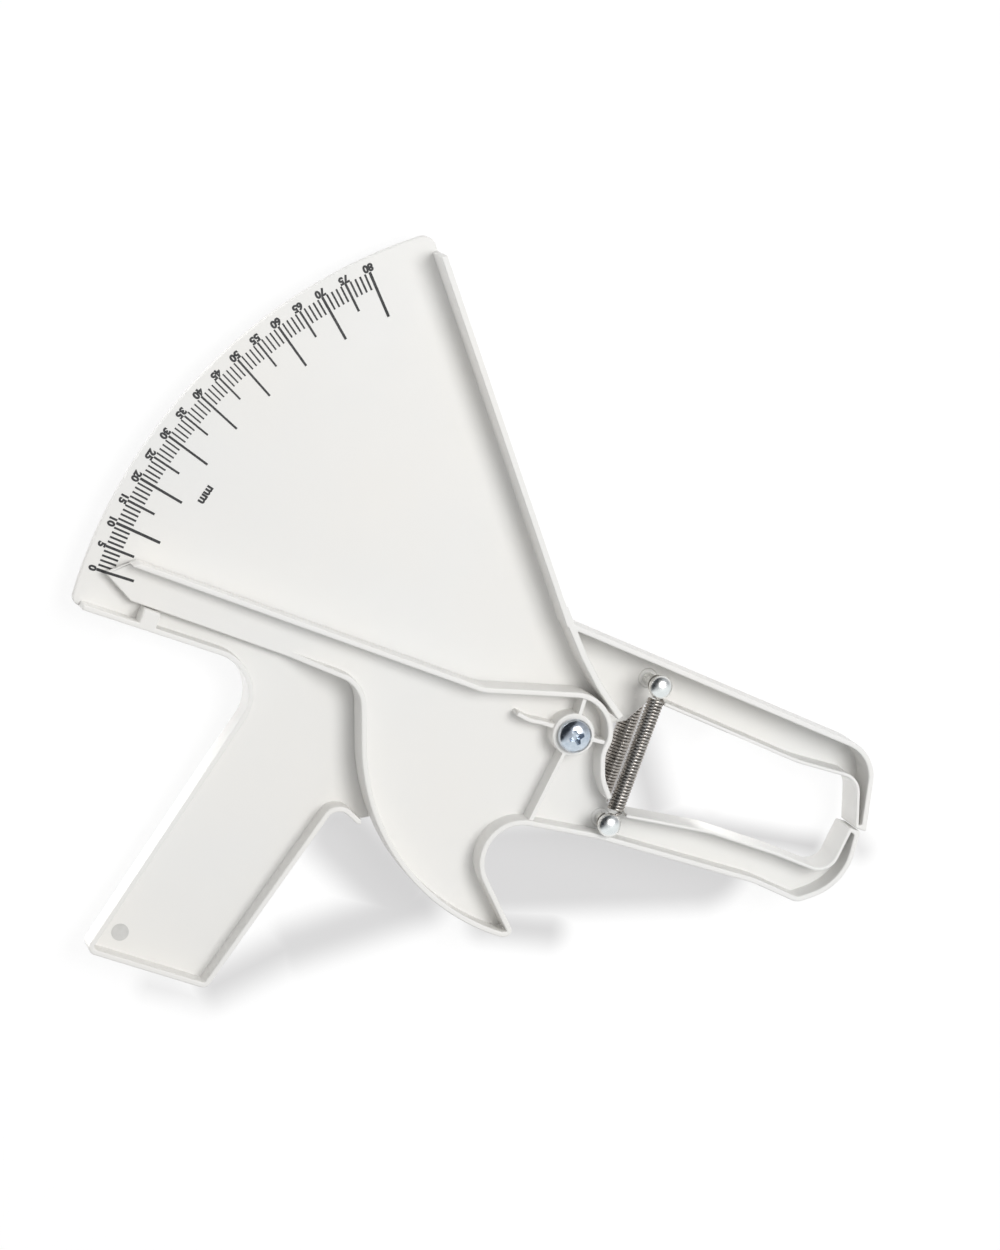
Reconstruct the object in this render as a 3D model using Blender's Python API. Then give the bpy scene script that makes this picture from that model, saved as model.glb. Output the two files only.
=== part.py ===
"""A moulded skinfold caliper lying on its back, front face up.

The frame moulding is the fan-shaped scale plate, the pistol handle and the upper jaw. The lever
moulding lies in front of it and is the pointer arm, the trigger blade with its finger hook and
the lower jaw. Both turn about one screw. Squeezing the trigger towards the handle opens the jaws,
and two extension springs between the upper and the lower pin close them again.

The plan is worked out about the screw's axis: X to the right, Y up the front view, Z out of the
front. Angles are degrees, counted anticlockwise from X as seen from the front.
"""
import bpy
import bmesh
from math import atan2, ceil, cos, degrees, hypot, pi, radians, sin, sqrt, tan
from mathutils import Vector

# Shared thicknesses and gaps
CLEARANCE = 0.0003
OVERRUN = 0.002
FRAME_WEB = 0.0025
RIM = 0.0018
JAW_LIP = 0.0012
RIB_WIDTH = 0.0013
WALL_PROUD = 0.00005
BODY_DEPTH = 0.015
LOW_RIM_HEIGHT = 0.010
LOW_RIM_CLEARANCE = 0.0022

# Scale plate: a fan between two lines that run beside the first and last mark
SECTOR_RADIUS = 0.166
SECTOR_END_ANGLE = 108.9
SECTOR_START_ANGLE = 159.1
SECTOR_MARGIN = 0.011
SECTOR_LOW_MARGIN = 0.0116
SECTOR_TOP_FILLET = 0.004
SECTOR_LOW_FILLET = 0.003
EDGE_RIB_INSET = 0.0058

# Handle
HANDLE_DROP = 0.1027
HANDLE_BACK_ANGLE = 235.0
HANDLE_BACK_OFFSET = 0.0937
HANDLE_FRONT_ANGLE = 233.3
HANDLE_FRONT_OFFSET = 0.0495
HANDLE_TOP_FILLET = 0.0135
HANDLE_END_FILLET = 0.0028
HANDLE_NOSE_FILLET = 0.004
HANDLE_NOSE_SETBACK = 0.0095
HANDLE_NOSE_CLEARANCE = 0.0047
HANDLE_NOSE_ANGLE = 200.2
HANDLE_NOSE_ROUNDING = 0.003
FRAME_HUB_RADIUS = 0.011
FRAME_UNDERCUT = 0.003

# Stop that the arm rests on at zero
STOP_INSET = 0.0245
STOP_WIDTH = 0.0055

# Jaws
JAW_REACH = 0.1035
CONTACT_ANGLE = -21.0
CONTACT_GAP = 0.0005
CONTACT_FACE = 0.0040
CONTACT_OFFSET = 0.0018
UPPER_JAW_SLOPE = 155.1
JAW_FILLET = 0.006
JAW_NOSE_FILLET = 0.009
JAW_CHIN_FILLET = 0.005
JAW_HEEL_FILLET = 0.020
UPPER_NOSE_SHARE = (0.9815, -0.106)
UPPER_INNER_SHARES = ((0.724, -0.129), (0.920, -0.193))
UPPER_LIP_SHARE = (0.285, 0.079)
UPPER_ROOT_SHARE = (0.182, 0.029)
LOWER_BELLY_SHARES = ((0.079, -0.334), (0.580, -0.505))
LOWER_CHIN_SHARE = (0.7266, -0.579)
LOWER_HEEL_SHARE = (0.888, -0.537)
LOWER_INNER_SHARES = ((0.827, -0.487), (0.659, -0.411), (0.444, -0.3285))

# Lever: blade, finger hook and arm
LEVER_LIFT = 0.0005
LEVER_WEB = 0.0025
LEVER_WEB_RISE = 0.001
BLADE_RADIUS = 0.0693
BLADE_END_ANGLE = 249.6
BLADE_CORNER_FILLET = 0.010
FINGER_RADIUS = 0.012
FINGER_INSET = 0.0252
FINGER_CENTRE_ANGLE = 246.6
FINGER_START_ANGLE = 204.5
FINGER_END_ANGLE = 75.3
HOOK_TIP_WIDTH = 0.0047
HOOK_TIP_FILLET = 0.002
ARM_ANGLE = 157.9
ARM_WIDTH = 0.0127
ARM_RISE = 0.0049
ARM_LENGTH = 0.1593
ARM_RIB_END_HEIGHT = 0.012
POINTER_ANGLE = 158.65
POINTER_UPPER = 0.0085
POINTER_LOWER = 0.0108
ARM_START_SHARE = 0.145
HUB_RADIUS = 0.0135
HUB_LINE = 0.0103
HUB_LINE_DROP = 0.0207
BOSS_RADIUS = 0.007
BOSS_DROP = 0.001
LEFT_STUB_LENGTH = 0.0120

# Pivot: bush, screw, washer and lock nut
SHANK_RADIUS = 0.0025
BUSH_RADIUS = 0.0035
SCREW_HEAD_RADIUS = 0.0055
SCREW_HEAD_HEIGHT = 0.0036
RECESS_SPAN = 0.0056
RECESS_WIDTH = 0.0012
RECESS_DEPTH = 0.0022
WASHER_RADIUS = 0.005
WASHER_THICKNESS = 0.001
NUT_ACROSS_FLATS = 0.008
NUT_HEIGHT = 0.0045
SCREW_POINT = 0.001

# Spring pins and their push-on caps
POST_SHARE = 0.3043
UPPER_POST_ANGLE = 28.0
LOWER_POST_ANGLE = -69.5
PIN_RADIUS = 0.002
PIN_HEAD_RADIUS = 0.00385
PIN_HEAD_HEIGHT = 0.0032
PIN_BOSS_RADIUS = 0.00375
PIN_BOSS_HEIGHT = 0.0095
PIN_HEAD_SEAT = 0.0163
CAP_SEAT = 0.0055
CAP_HEIGHT = 0.0034
CAP_BORE_DEPTH = 0.0018

# Springs
WIRE = 0.0008
COIL_RADIUS = 0.0023
COIL_PITCH = 0.0013
COIL_OFFSET = 0.002
HOOK_ROOM = 0.0042
FRONT_SPRING_HEIGHT = 0.0136
REAR_SPRING_HEIGHT = -0.0035
LEAST_COIL_GAP = 0.0004
POINTS_PER_CURL = 8

# How finely round edges are drawn
ARC_STEP = 12.0
BIG_ARC_STEP = 2.5
ROUND_SIDES = 40
PIN_SIDES = 28


def polar(radius, angle):
    """A plan point at a radius and an angle about the screw."""
    return Vector((radius * cos(radians(angle)), radius * sin(radians(angle))))


def beside(angle, distance, side):
    """A plan point on the ray at an angle, moved sideways to the ray's left."""
    turned_left = polar(side, angle + 90.0)
    return polar(distance, angle) + turned_left


def crossing(first, first_angle, second, second_angle):
    """Where two lines meet, each given by a point and an angle."""
    a = polar(1.0, first_angle)
    b = polar(1.0, second_angle)
    gap = second - first
    along = (gap.x * b.y - gap.y * b.x) / (a.x * b.y - a.y * b.x)
    return first + a * along


def bearing(start, end):
    """The angle of the line from one point to another."""
    return degrees(atan2(end.y - start.y, end.x - start.x))


def of_reach(share):
    """A plan point given as shares of the jaws' reach."""
    return Vector((share[0] * JAW_REACH, share[1] * JAW_REACH))


def arc(centre, radius, start, end, step=ARC_STEP):
    """Points along an arc, both ends included."""
    count = max(2, ceil(abs(end - start) / step))
    return [centre + polar(radius, start + (end - start) * i / count) for i in range(count + 1)]


def filleted(corners):
    """An open path through corners, each a point and the radius that rounds it."""
    path = [corners[0][0]]
    for i in range(1, len(corners) - 1):
        point, radius = corners[i]
        if radius == 0:
            path.append(point)
            continue
        before = (corners[i - 1][0] - point).normalized()
        after = (corners[i + 1][0] - point).normalized()
        half = before.angle(after) / 2
        room = min((corners[i - 1][0] - point).length, (corners[i + 1][0] - point).length)
        reach = min(radius / tan(half), room * 0.98)
        size = reach * tan(half)
        middle = point + (before + after).normalized() * (size / sin(half))
        start = bearing(middle, point + before * reach)
        end = bearing(middle, point + after * reach)
        turn = (end - start + 180.0) % 360.0 - 180.0
        path += arc(middle, size, start, start + turn)
    path.append(corners[-1][0])
    return path


def tidy(path):
    """The path without points that fall on each other."""
    kept = []
    for point in path:
        if not kept or (point - kept[-1]).length > CLEARANCE * 0.1:
            kept.append(point)
    return kept


def shifted(path, widths):
    """The path moved to its own left by a width at each point, with mitred corners."""
    moved = []
    for i, point in enumerate(path):
        normals = []
        for a, b in ((i - 1, i), (i, i + 1)):
            if a >= 0 and b < len(path):
                run = (path[b] - path[a]).normalized()
                normals.append(Vector((-run.y, run.x)))
        normal = sum(normals, Vector((0.0, 0.0))).normalized()
        moved.append(point + normal * (widths[i] / max(0.3, normal.dot(normals[0]))))
    return moved


def strip(path, width, proud=WALL_PROUD, narrow_from=None):
    """The closed outline of a wall on a path's left, with the lip's width from a point on."""
    path = tidy(path)
    start = path.index(narrow_from) if narrow_from else len(path)
    side = 1.0 if width > 0 else -1.0
    widths = [width if i < start else side * JAW_LIP for i in range(len(path))]
    widths = [each + proud for each in widths]
    outside = shifted(path, [-proud] * len(path))
    return outside + list(reversed(shifted(path, widths)))


def bar(start, end, width):
    """The closed outline of a straight rib between two points."""
    side = (end - start).normalized().orthogonal() * (width / 2)
    return [start + side, end + side, end - side, start - side]


def circle(centre, radius, sides):
    """The closed outline of a round piece."""
    return [centre + polar(radius, 360.0 * i / sides) for i in range(sides)]


def finish(name, mesh_maker):
    """An object made from what a function draws into an empty mesh."""
    mesh = bpy.data.meshes.new(name)
    bm = bmesh.new()
    mesh_maker(bm)
    bmesh.ops.recalc_face_normals(bm, faces=bm.faces)
    bm.to_mesh(mesh)
    bm.free()
    thing = bpy.data.objects.new(name, mesh)
    bpy.context.scene.collection.objects.link(thing)
    return thing


def prism(name, outline, low, high, low_scale=1.0, fall=None):
    """A closed outline drawn up from one height to another, or to a top that falls along a line.

    The fall is a start point, an angle and the drop for each metre along it.
    """
    outline = tidy(outline)
    if (outline[0] - outline[-1]).length < CLEARANCE * 0.1:
        outline = outline[:-1]
    middle = sum(outline, Vector((0.0, 0.0))) / len(outline)

    def drop(point):
        return fall[2] * (point - fall[0]).dot(polar(1.0, fall[1])) if fall else 0.0

    def draw(bm):
        feet = [middle + (p - middle) * low_scale for p in outline]
        bottom = [bm.verts.new((p.x, p.y, low)) for p in feet]
        top = [bm.verts.new((p.x, p.y, high - drop(p))) for p in outline]
        bm.faces.new(list(reversed(bottom)))
        bm.faces.new(top)
        for i in range(len(outline)):
            j = (i + 1) % len(outline)
            bm.faces.new((bottom[i], bottom[j], top[j], top[i]))

    return finish(name, draw)


def turned(name, centre, profile, sides):
    """A piece turned about an upright axis from radius and height pairs that begin and end on it."""

    def draw(bm):
        ring = [bm.verts.new((centre.x + r, centre.y, z)) for r, z in profile]
        edges = [bm.edges.new((ring[i], ring[i + 1])) for i in range(len(ring) - 1)]
        hub = (centre.x, centre.y, 0.0)
        bmesh.ops.spin(bm, geom=ring + edges, cent=hub, axis=(0, 0, 1), angle=2 * pi, steps=sides,
                       use_merge=True, use_duplicate=False)
        bmesh.ops.remove_doubles(bm, verts=bm.verts, dist=CLEARANCE * 0.01)

    thing = finish(name, draw)
    thing.data.shade_smooth()
    thing.data.set_sharp_from_angle(angle=radians(40.0))
    return thing


def combine(target, tool, operation):
    """Joins a helper solid to a piece, or cuts it away, and hides the helper."""
    step = target.modifiers.new(operation.lower() + "_" + tool.name, "BOOLEAN")
    step.operation = operation
    step.solver = "EXACT"
    step.object = tool
    tool.hide_render = True
    tool.display_type = "WIRE"
    tool.parent = target


def join(target, name, outline, low, high):
    combine(target, prism(name, outline, low, high), "UNION")


def cut(target, name, outline, low, high):
    combine(target, prism(name, outline, low, high), "DIFFERENCE")


def material(name, color, roughness, metallic):
    look = bpy.data.materials.new(name)
    look.use_nodes = True
    shader = look.node_tree.nodes["Principled BSDF"]
    shader.inputs["Base Color"].default_value = (*color, 1.0)
    shader.inputs["Roughness"].default_value = roughness
    shader.inputs["Metallic"].default_value = metallic
    return look


for old in list(bpy.data.objects):
    bpy.data.objects.remove(old, do_unlink=True)

HERE = Vector((0.0, 0.0))
upper_post = polar(POST_SHARE * JAW_REACH, UPPER_POST_ANGLE)
lower_post = polar(POST_SHARE * JAW_REACH, LOWER_POST_ANGLE)
spring_angle = bearing(upper_post, lower_post)
coil_reach = COIL_RADIUS + WIRE / 2 + CLEARANCE
spring_right = upper_post + polar(COIL_OFFSET + coil_reach, spring_angle + 90.0)
lever_low = FRAME_WEB + LEVER_LIFT
lever_web_low = lever_low + LEVER_WEB_RISE
lever_web_high = lever_web_low + LEVER_WEB


# The frame's outline, anticlockwise from the foot of the scale plate's right edge
upper_nose = of_reach(UPPER_NOSE_SHARE)
plate_foot = crossing(beside(SECTOR_END_ANGLE, 0.0, -SECTOR_MARGIN), SECTOR_END_ANGLE,
                      upper_nose, UPPER_JAW_SLOPE)
edge_run = sqrt(SECTOR_RADIUS ** 2 - SECTOR_MARGIN ** 2)
top_corner = beside(SECTOR_END_ANGLE, edge_run, -SECTOR_MARGIN)
low_run = sqrt(SECTOR_RADIUS ** 2 - SECTOR_LOW_MARGIN ** 2)
low_corner = beside(SECTOR_START_ANGLE, low_run, SECTOR_LOW_MARGIN)
top_arc_end = polar(SECTOR_RADIUS, bearing(HERE, top_corner) + degrees(SECTOR_TOP_FILLET / SECTOR_RADIUS))
low_arc_end = polar(SECTOR_RADIUS, bearing(HERE, low_corner) - degrees(SECTOR_LOW_FILLET / SECTOR_RADIUS))
handle_back = beside(HANDLE_BACK_ANGLE, 0.0, -HANDLE_BACK_OFFSET)
handle_front = beside(HANDLE_FRONT_ANGLE, 0.0, -HANDLE_FRONT_OFFSET)
handle_end = beside(SECTOR_START_ANGLE, 0.0, SECTOR_LOW_MARGIN + HANDLE_DROP)
handle_top = crossing(low_corner, SECTOR_START_ANGLE, handle_back, HANDLE_BACK_ANGLE)
handle_low_back = crossing(handle_end, SECTOR_START_ANGLE, handle_back, HANDLE_BACK_ANGLE)
handle_low_front = crossing(handle_end, SECTOR_START_ANGLE, handle_front, HANDLE_FRONT_ANGLE)
nose_top_radius = BLADE_RADIUS + HANDLE_NOSE_SETBACK
nose_top_run = sqrt(nose_top_radius ** 2 - HANDLE_FRONT_OFFSET ** 2)
nose_top = beside(HANDLE_FRONT_ANGLE, nose_top_run, -HANDLE_FRONT_OFFSET)
nose_tip = polar(BLADE_RADIUS + HANDLE_NOSE_CLEARANCE, HANDLE_NOSE_ANGLE)
under_blade = Vector((-BLADE_RADIUS + RIM + HUB_RADIUS, FRAME_UNDERCUT))

sector_path = filleted([(plate_foot, 0), (top_corner, SECTOR_TOP_FILLET), (top_arc_end, 0)])
sector_path += arc(HERE, SECTOR_RADIUS, bearing(HERE, top_arc_end), bearing(HERE, low_arc_end),
                   BIG_ARC_STEP)
corner_path = filleted([(low_arc_end, 0), (low_corner, SECTOR_LOW_FILLET), (handle_top, 0)])[:-1]
handle_path = filleted([
    (corner_path[-1], 0),
    (handle_top, HANDLE_TOP_FILLET),
    (handle_low_back, HANDLE_END_FILLET),
    (handle_low_front, HANDLE_END_FILLET),
    (nose_top, HANDLE_NOSE_FILLET),
    (nose_tip, HANDLE_NOSE_ROUNDING),
    (under_blade, 0),
])
rim_limit = BLADE_RADIUS + LOW_RIM_CLEARANCE
handle_rim_path = [(corner_path[1] + corner_path[2]) / 2] + corner_path[2:]
handle_rim_path += [p for p in handle_path[1:] if p.length > rim_limit]
handle_rim_path[-1] = (handle_rim_path[-2] + handle_rim_path[-1]) / 2
hidden_path = [Vector((-FRAME_HUB_RADIUS - FRAME_UNDERCUT, FRAME_UNDERCUT))]
hidden_path += arc(HERE, FRAME_HUB_RADIUS, 190.0, 340.0)

upper_inner = [of_reach(share) for share in UPPER_INNER_SHARES]
upper_root = of_reach(UPPER_ROOT_SHARE)
lip_start = of_reach(UPPER_LIP_SHARE)
contact_mid = JAW_REACH
upper_contact_in = beside(CONTACT_ANGLE, contact_mid - CONTACT_FACE / 2, CONTACT_GAP / 2)
upper_contact_out = beside(CONTACT_ANGLE, contact_mid + CONTACT_FACE / 2, CONTACT_GAP / 2)
upper_lip_path = filleted([
    (lip_start, 0),
    (upper_inner[0], JAW_NOSE_FILLET),
    (upper_inner[1], JAW_FILLET),
    (upper_contact_in, 0),
])
upper_back_path = filleted([
    (upper_contact_out, 0),
    (upper_nose, JAW_NOSE_FILLET),
    (plate_foot, 0),
])
frame_outline = (sector_path + corner_path[1:] + handle_path[1:] + hidden_path + [upper_root]
                 + upper_lip_path + upper_back_path[:-1])

frame = prism("frame", frame_outline, 0.0, FRAME_WEB)
mid_web = FRAME_WEB / 2
join(frame, "handle_rim", strip(handle_rim_path, RIM), mid_web, LOW_RIM_HEIGHT)
edge_rib_top = top_corner + polar(EDGE_RIB_INSET, SECTOR_END_ANGLE + 180.0)
lip_wall_start = lip_start + (upper_inner[0] - lip_start).normalized() * (RIM / 2)
jaw_wall = list(reversed([lip_wall_start] + upper_lip_path[1:] + upper_back_path + [edge_rib_top]))
jaw_wall_strip = strip(jaw_wall, -RIM, -WALL_PROUD, upper_contact_in)
join(frame, "jaw_wall", jaw_wall_strip, mid_web, BODY_DEPTH)
hub_clear = HUB_RADIUS + RIM
root_rib = [
    plate_foot + polar(RIM, SECTOR_END_ANGLE + 180.0),
    polar(hub_clear + RIM, 48.0),
    upper_root + polar(RIM / 2, 115.0),
]
join(frame, "root_rib", strip(list(reversed(root_rib)), RIM), mid_web, BODY_DEPTH)
arm_low_line = beside(ARM_ANGLE, 0.0, ARM_WIDTH - ARM_RISE)
stop_top = crossing(arm_low_line + polar(CLEARANCE, ARM_ANGLE + 90.0), ARM_ANGLE,
                    beside(ARM_ANGLE, SECTOR_RADIUS - STOP_INSET, 0.0), ARM_ANGLE + 90.0)
stop_foot = crossing(low_corner, SECTOR_START_ANGLE, stop_top, ARM_ANGLE + 90.0)
join(frame, "stop_tab", bar(stop_top, stop_foot + (stop_top - stop_foot).normalized() * (RIM / 2), STOP_WIDTH),
     mid_web, LOW_RIM_HEIGHT)
join(frame, "pin_boss", circle(upper_post, PIN_BOSS_RADIUS, PIN_SIDES), mid_web, PIN_BOSS_HEIGHT)
cut(frame, "screw_hole", circle(HERE, SHANK_RADIUS + CLEARANCE, ROUND_SIDES), -OVERRUN, FRAME_WEB + OVERRUN)
cut(frame, "pin_hole", circle(upper_post, PIN_RADIUS + CLEARANCE, PIN_SIDES), -OVERRUN,
    PIN_BOSS_HEIGHT + OVERRUN)


# The lever's outline, anticlockwise from the arm's lower edge
blade_edge = Vector((-BLADE_RADIUS, 0.0))
blade_corner = crossing(arm_low_line, ARM_ANGLE, blade_edge, 90.0)
arm_foot = blade_corner + polar(BLADE_CORNER_FILLET, ARM_ANGLE)
blade_path = filleted([(arm_foot, 0), (blade_corner, BLADE_CORNER_FILLET), (blade_edge, 0)])
blade_path += arc(HERE, BLADE_RADIUS, 180.0, BLADE_END_ANGLE, BIG_ARC_STEP)[1:]
finger_centre = polar(BLADE_RADIUS - FINGER_INSET, FINGER_CENTRE_ANGLE)
finger_arc = arc(finger_centre, FINGER_RADIUS, FINGER_START_ANGLE, FINGER_END_ANGLE)
hook_tip = blade_path[-1] + polar(HOOK_TIP_WIDTH, 2.0)
contact_low_in = beside(CONTACT_ANGLE, contact_mid - CONTACT_OFFSET - CONTACT_FACE / 2, -CONTACT_GAP / 2)
contact_low_out = beside(CONTACT_ANGLE, contact_mid - CONTACT_OFFSET + CONTACT_FACE / 2, -CONTACT_GAP / 2)
belly = [of_reach(share) for share in LOWER_BELLY_SHARES]
lower_inner = [of_reach(share) for share in LOWER_INNER_SHARES]
inner_slope = bearing(lower_inner[2], lower_inner[1]) + 7.0
notch_right = crossing(lower_inner[2], inner_slope, spring_right, spring_angle)
notch_left = Vector((HUB_LINE, -HUB_LINE_DROP))
notch_foot = Vector((HUB_LINE, notch_right.y + RIM))
hook_path = filleted([(blade_path[-1], 0), (hook_tip, HOOK_TIP_FILLET), (finger_arc[0], 0)])
hook_path += finger_arc[1:]
belly_path = filleted([
    (finger_arc[-1], 0),
    (belly[0], 0),
    (belly[1], 0),
    (of_reach(LOWER_CHIN_SHARE), JAW_CHIN_FILLET),
    (of_reach(LOWER_HEEL_SHARE), JAW_HEEL_FILLET),
    (contact_low_out, 0),
])
lower_lip_path = filleted([
    (contact_low_in, 0),
    (lower_inner[0], JAW_FILLET),
    (lower_inner[1], 0),
    (lower_inner[2], 0),
    (notch_right, 0),
])
hub_start = -degrees(atan2(sqrt(HUB_RADIUS ** 2 - HUB_LINE ** 2), HUB_LINE))
arm_top_line = beside(ARM_ANGLE, 0.0, -ARM_RISE)
hub_top = polar(HUB_RADIUS, 86.0)
arm_bend = crossing(hub_top, 176.0, arm_top_line, ARM_ANGLE)
pointer_tip = polar(ARM_LENGTH, POINTER_ANGLE)
pointer_up = beside(ARM_ANGLE, ARM_LENGTH - POINTER_UPPER, -ARM_RISE)
pointer_low = beside(ARM_ANGLE, ARM_LENGTH - POINTER_LOWER, ARM_WIDTH - ARM_RISE)
hub_path = [notch_left] + arc(HERE, HUB_RADIUS, hub_start, 86.0, ARC_STEP / 2)
hub_path += filleted([(hub_top, 0), (arm_bend, JAW_CHIN_FILLET), (pointer_up, 0)])[1:-1]
arm_rib_start = hub_path[-1]
lever_outline = (blade_path + hook_path[1:] + belly_path[1:] + lower_lip_path + [notch_foot]
                 + hub_path + [pointer_up, pointer_tip, pointer_low])

lever = prism("lever", lever_outline, lever_web_low, lever_web_high)
lever_mid = (lever_web_low + lever_web_high) / 2
jaw_path = belly_path[1:] + lower_lip_path
lip_end = notch_right + (lower_inner[2] - notch_right).normalized() * (RIM / 2)
lever_wall = blade_path + hook_path[1:] + jaw_path[:-1] + [lip_end]
join(lever, "lever_wall", strip(lever_wall, RIM, WALL_PROUD, contact_low_in), lever_low, BODY_DEPTH)
back_end = notch_right + (lower_inner[2] - notch_right).normalized() * RIM
back_wall = finger_arc + jaw_path[:-1] + [back_end]
join(lever, "jaw_back_wall", strip(back_wall, RIM, WALL_PROUD * 2, contact_low_in), 0.0, lever_mid)
join(lever, "hub_rim", strip(hub_path, RIM), lever_low, BODY_DEPTH)
arm_rib_path = [arm_rib_start + polar(RIM, ARM_ANGLE + 180.0), pointer_up]
arm_slope = (BODY_DEPTH - ARM_RIB_END_HEIGHT) / (pointer_up - arm_rib_start).length
arm_fall = (arm_rib_start + polar(RIM, ARM_ANGLE + 180.0), ARM_ANGLE, arm_slope)
arm_rib = prism("arm_rib", strip(arm_rib_path, RIM, WALL_PROUD * 2), lever_low, BODY_DEPTH, 1.0, arm_fall)
combine(lever, arm_rib, "UNION")
boss_top = BODY_DEPTH - BOSS_DROP
join(lever, "pivot_boss", circle(HERE, BOSS_RADIUS, ROUND_SIDES), lever_low, boss_top)
rib_room = HUB_RADIUS - RIM / 2
join(lever, "top_rib", bar(polar(BOSS_RADIUS - RIM / 2, 72.0), polar(rib_room, 72.0), RIB_WIDTH),
     lever_mid, boss_top)
join(lever, "side_rib", bar(polar(BOSS_RADIUS - RIM / 2, -17.0), polar(HUB_RADIUS - RIM, -17.0), RIB_WIDTH),
     lever_mid, boss_top)
stub_tip = polar(BOSS_RADIUS + LEFT_STUB_LENGTH, 157.0)
join(lever, "left_rib", bar(polar(BOSS_RADIUS - RIM / 2, 158.0), stub_tip, RIB_WIDTH), lever_mid, boss_top)
long_end = finger_arc[-1] + polar(RIM / 2, 90.0)
join(lever, "long_rib", bar(polar(BOSS_RADIUS - RIM / 2, bearing(HERE, long_end)), long_end, RIB_WIDTH),
     lever_mid, boss_top)
join(lever, "lower_pin_boss", circle(lower_post, PIN_BOSS_RADIUS, PIN_SIDES), lever_web_low, PIN_BOSS_HEIGHT)
cut(lever, "bush_hole", circle(HERE, BUSH_RADIUS + CLEARANCE, ROUND_SIDES), -OVERRUN, BODY_DEPTH + OVERRUN)
cut(lever, "lower_pin_hole", circle(lower_post, PIN_RADIUS + CLEARANCE, PIN_SIDES), -OVERRUN,
    PIN_BOSS_HEIGHT + OVERRUN)


# Pivot hardware: the bush keeps the screw from pinching the lever
bush_low = FRAME_WEB + CLEARANCE
bush_high = boss_top + CLEARANCE
pivot_bush = prism("pivot_bush", circle(HERE, BUSH_RADIUS, ROUND_SIDES), bush_low, bush_high)
cut(pivot_bush, "bush_bore", circle(HERE, SHANK_RADIUS + CLEARANCE, ROUND_SIDES), bush_low - OVERRUN,
    bush_high + OVERRUN)

washer_high = -CLEARANCE
washer_low = washer_high - WASHER_THICKNESS
back_washer = prism("back_washer", circle(HERE, WASHER_RADIUS, ROUND_SIDES), washer_low, washer_high)
cut(back_washer, "washer_bore", circle(HERE, SHANK_RADIUS + CLEARANCE, ROUND_SIDES), washer_low - OVERRUN,
    washer_high + OVERRUN)

nut_high = washer_low - CLEARANCE
nut_low = nut_high - NUT_HEIGHT
nut_corner = NUT_ACROSS_FLATS / 2 / cos(radians(30.0))
lock_nut = prism("lock_nut", circle(HERE, nut_corner, 6), nut_low, nut_high)
cut(lock_nut, "nut_bore", circle(HERE, SHANK_RADIUS + CLEARANCE, ROUND_SIDES), nut_low - OVERRUN,
    nut_high + OVERRUN)

head_low = bush_high + CLEARANCE
head_top = head_low + SCREW_HEAD_HEIGHT
screw_end = nut_low - SCREW_POINT
HEAD_EDGE_SHARES = ((1.0, 0.35), (0.93, 0.66), (0.78, 0.87), (0.55, 0.97))
screw_profile = [(0.0, screw_end), (SHANK_RADIUS - CLEARANCE, screw_end),
                 (SHANK_RADIUS, screw_end + CLEARANCE), (SHANK_RADIUS, head_low),
                 (SCREW_HEAD_RADIUS, head_low)]
screw_profile += [(SCREW_HEAD_RADIUS * r, head_low + SCREW_HEAD_HEIGHT * z) for r, z in HEAD_EDGE_SHARES]
screw_profile += [(0.0, head_top)]
pivot_screw = turned("pivot_screw", HERE, screw_profile, ROUND_SIDES)
recess_floor = head_top - RECESS_DEPTH
for turn in (20.0, 110.0):
    slot = bar(polar(RECESS_SPAN / 2, turn), polar(RECESS_SPAN / 2, turn + 180.0), RECESS_WIDTH)
    slot_tool = prism("recess_" + str(int(turn)), slot, recess_floor, head_top + CLEARANCE, 0.6)
    combine(pivot_screw, slot_tool, "DIFFERENCE")


# Spring pins: one through the frame, one through the lever, each closed by a push-on cap
DOME_SHARES = ((1.0, 0.30), (0.95, 0.56), (0.81, 0.79), (0.58, 0.93), (0.30, 0.99))


def dome(radius, height):
    return [(radius * r, height * z) for r, z in DOME_SHARES] + [(0.0, height)]


def spring_pin(name, centre):
    pin_end = -CAP_SEAT - CAP_BORE_DEPTH + CLEARANCE
    profile = [(0.0, pin_end), (PIN_RADIUS, pin_end), (PIN_RADIUS, PIN_HEAD_SEAT),
               (PIN_HEAD_RADIUS, PIN_HEAD_SEAT)]
    profile += [(r, PIN_HEAD_SEAT + z) for r, z in dome(PIN_HEAD_RADIUS, PIN_HEAD_HEIGHT)]
    return turned(name, centre, profile, PIN_SIDES)


def pin_cap(name, centre):
    profile = [(0.0, -CAP_SEAT - CAP_BORE_DEPTH), (PIN_RADIUS + CLEARANCE, -CAP_SEAT - CAP_BORE_DEPTH),
               (PIN_RADIUS + CLEARANCE, -CAP_SEAT), (PIN_HEAD_RADIUS, -CAP_SEAT)]
    profile += [(r, -CAP_SEAT - z) for r, z in dome(PIN_HEAD_RADIUS, CAP_HEIGHT)]
    return turned(name, centre, profile, PIN_SIDES)


upper_pin = spring_pin("upper_pin", upper_post)
upper_pin_cap = pin_cap("upper_pin_cap", upper_post)
lower_pin = spring_pin("lower_pin", lower_post)
lower_pin_cap = pin_cap("lower_pin_cap", lower_post)


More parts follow.
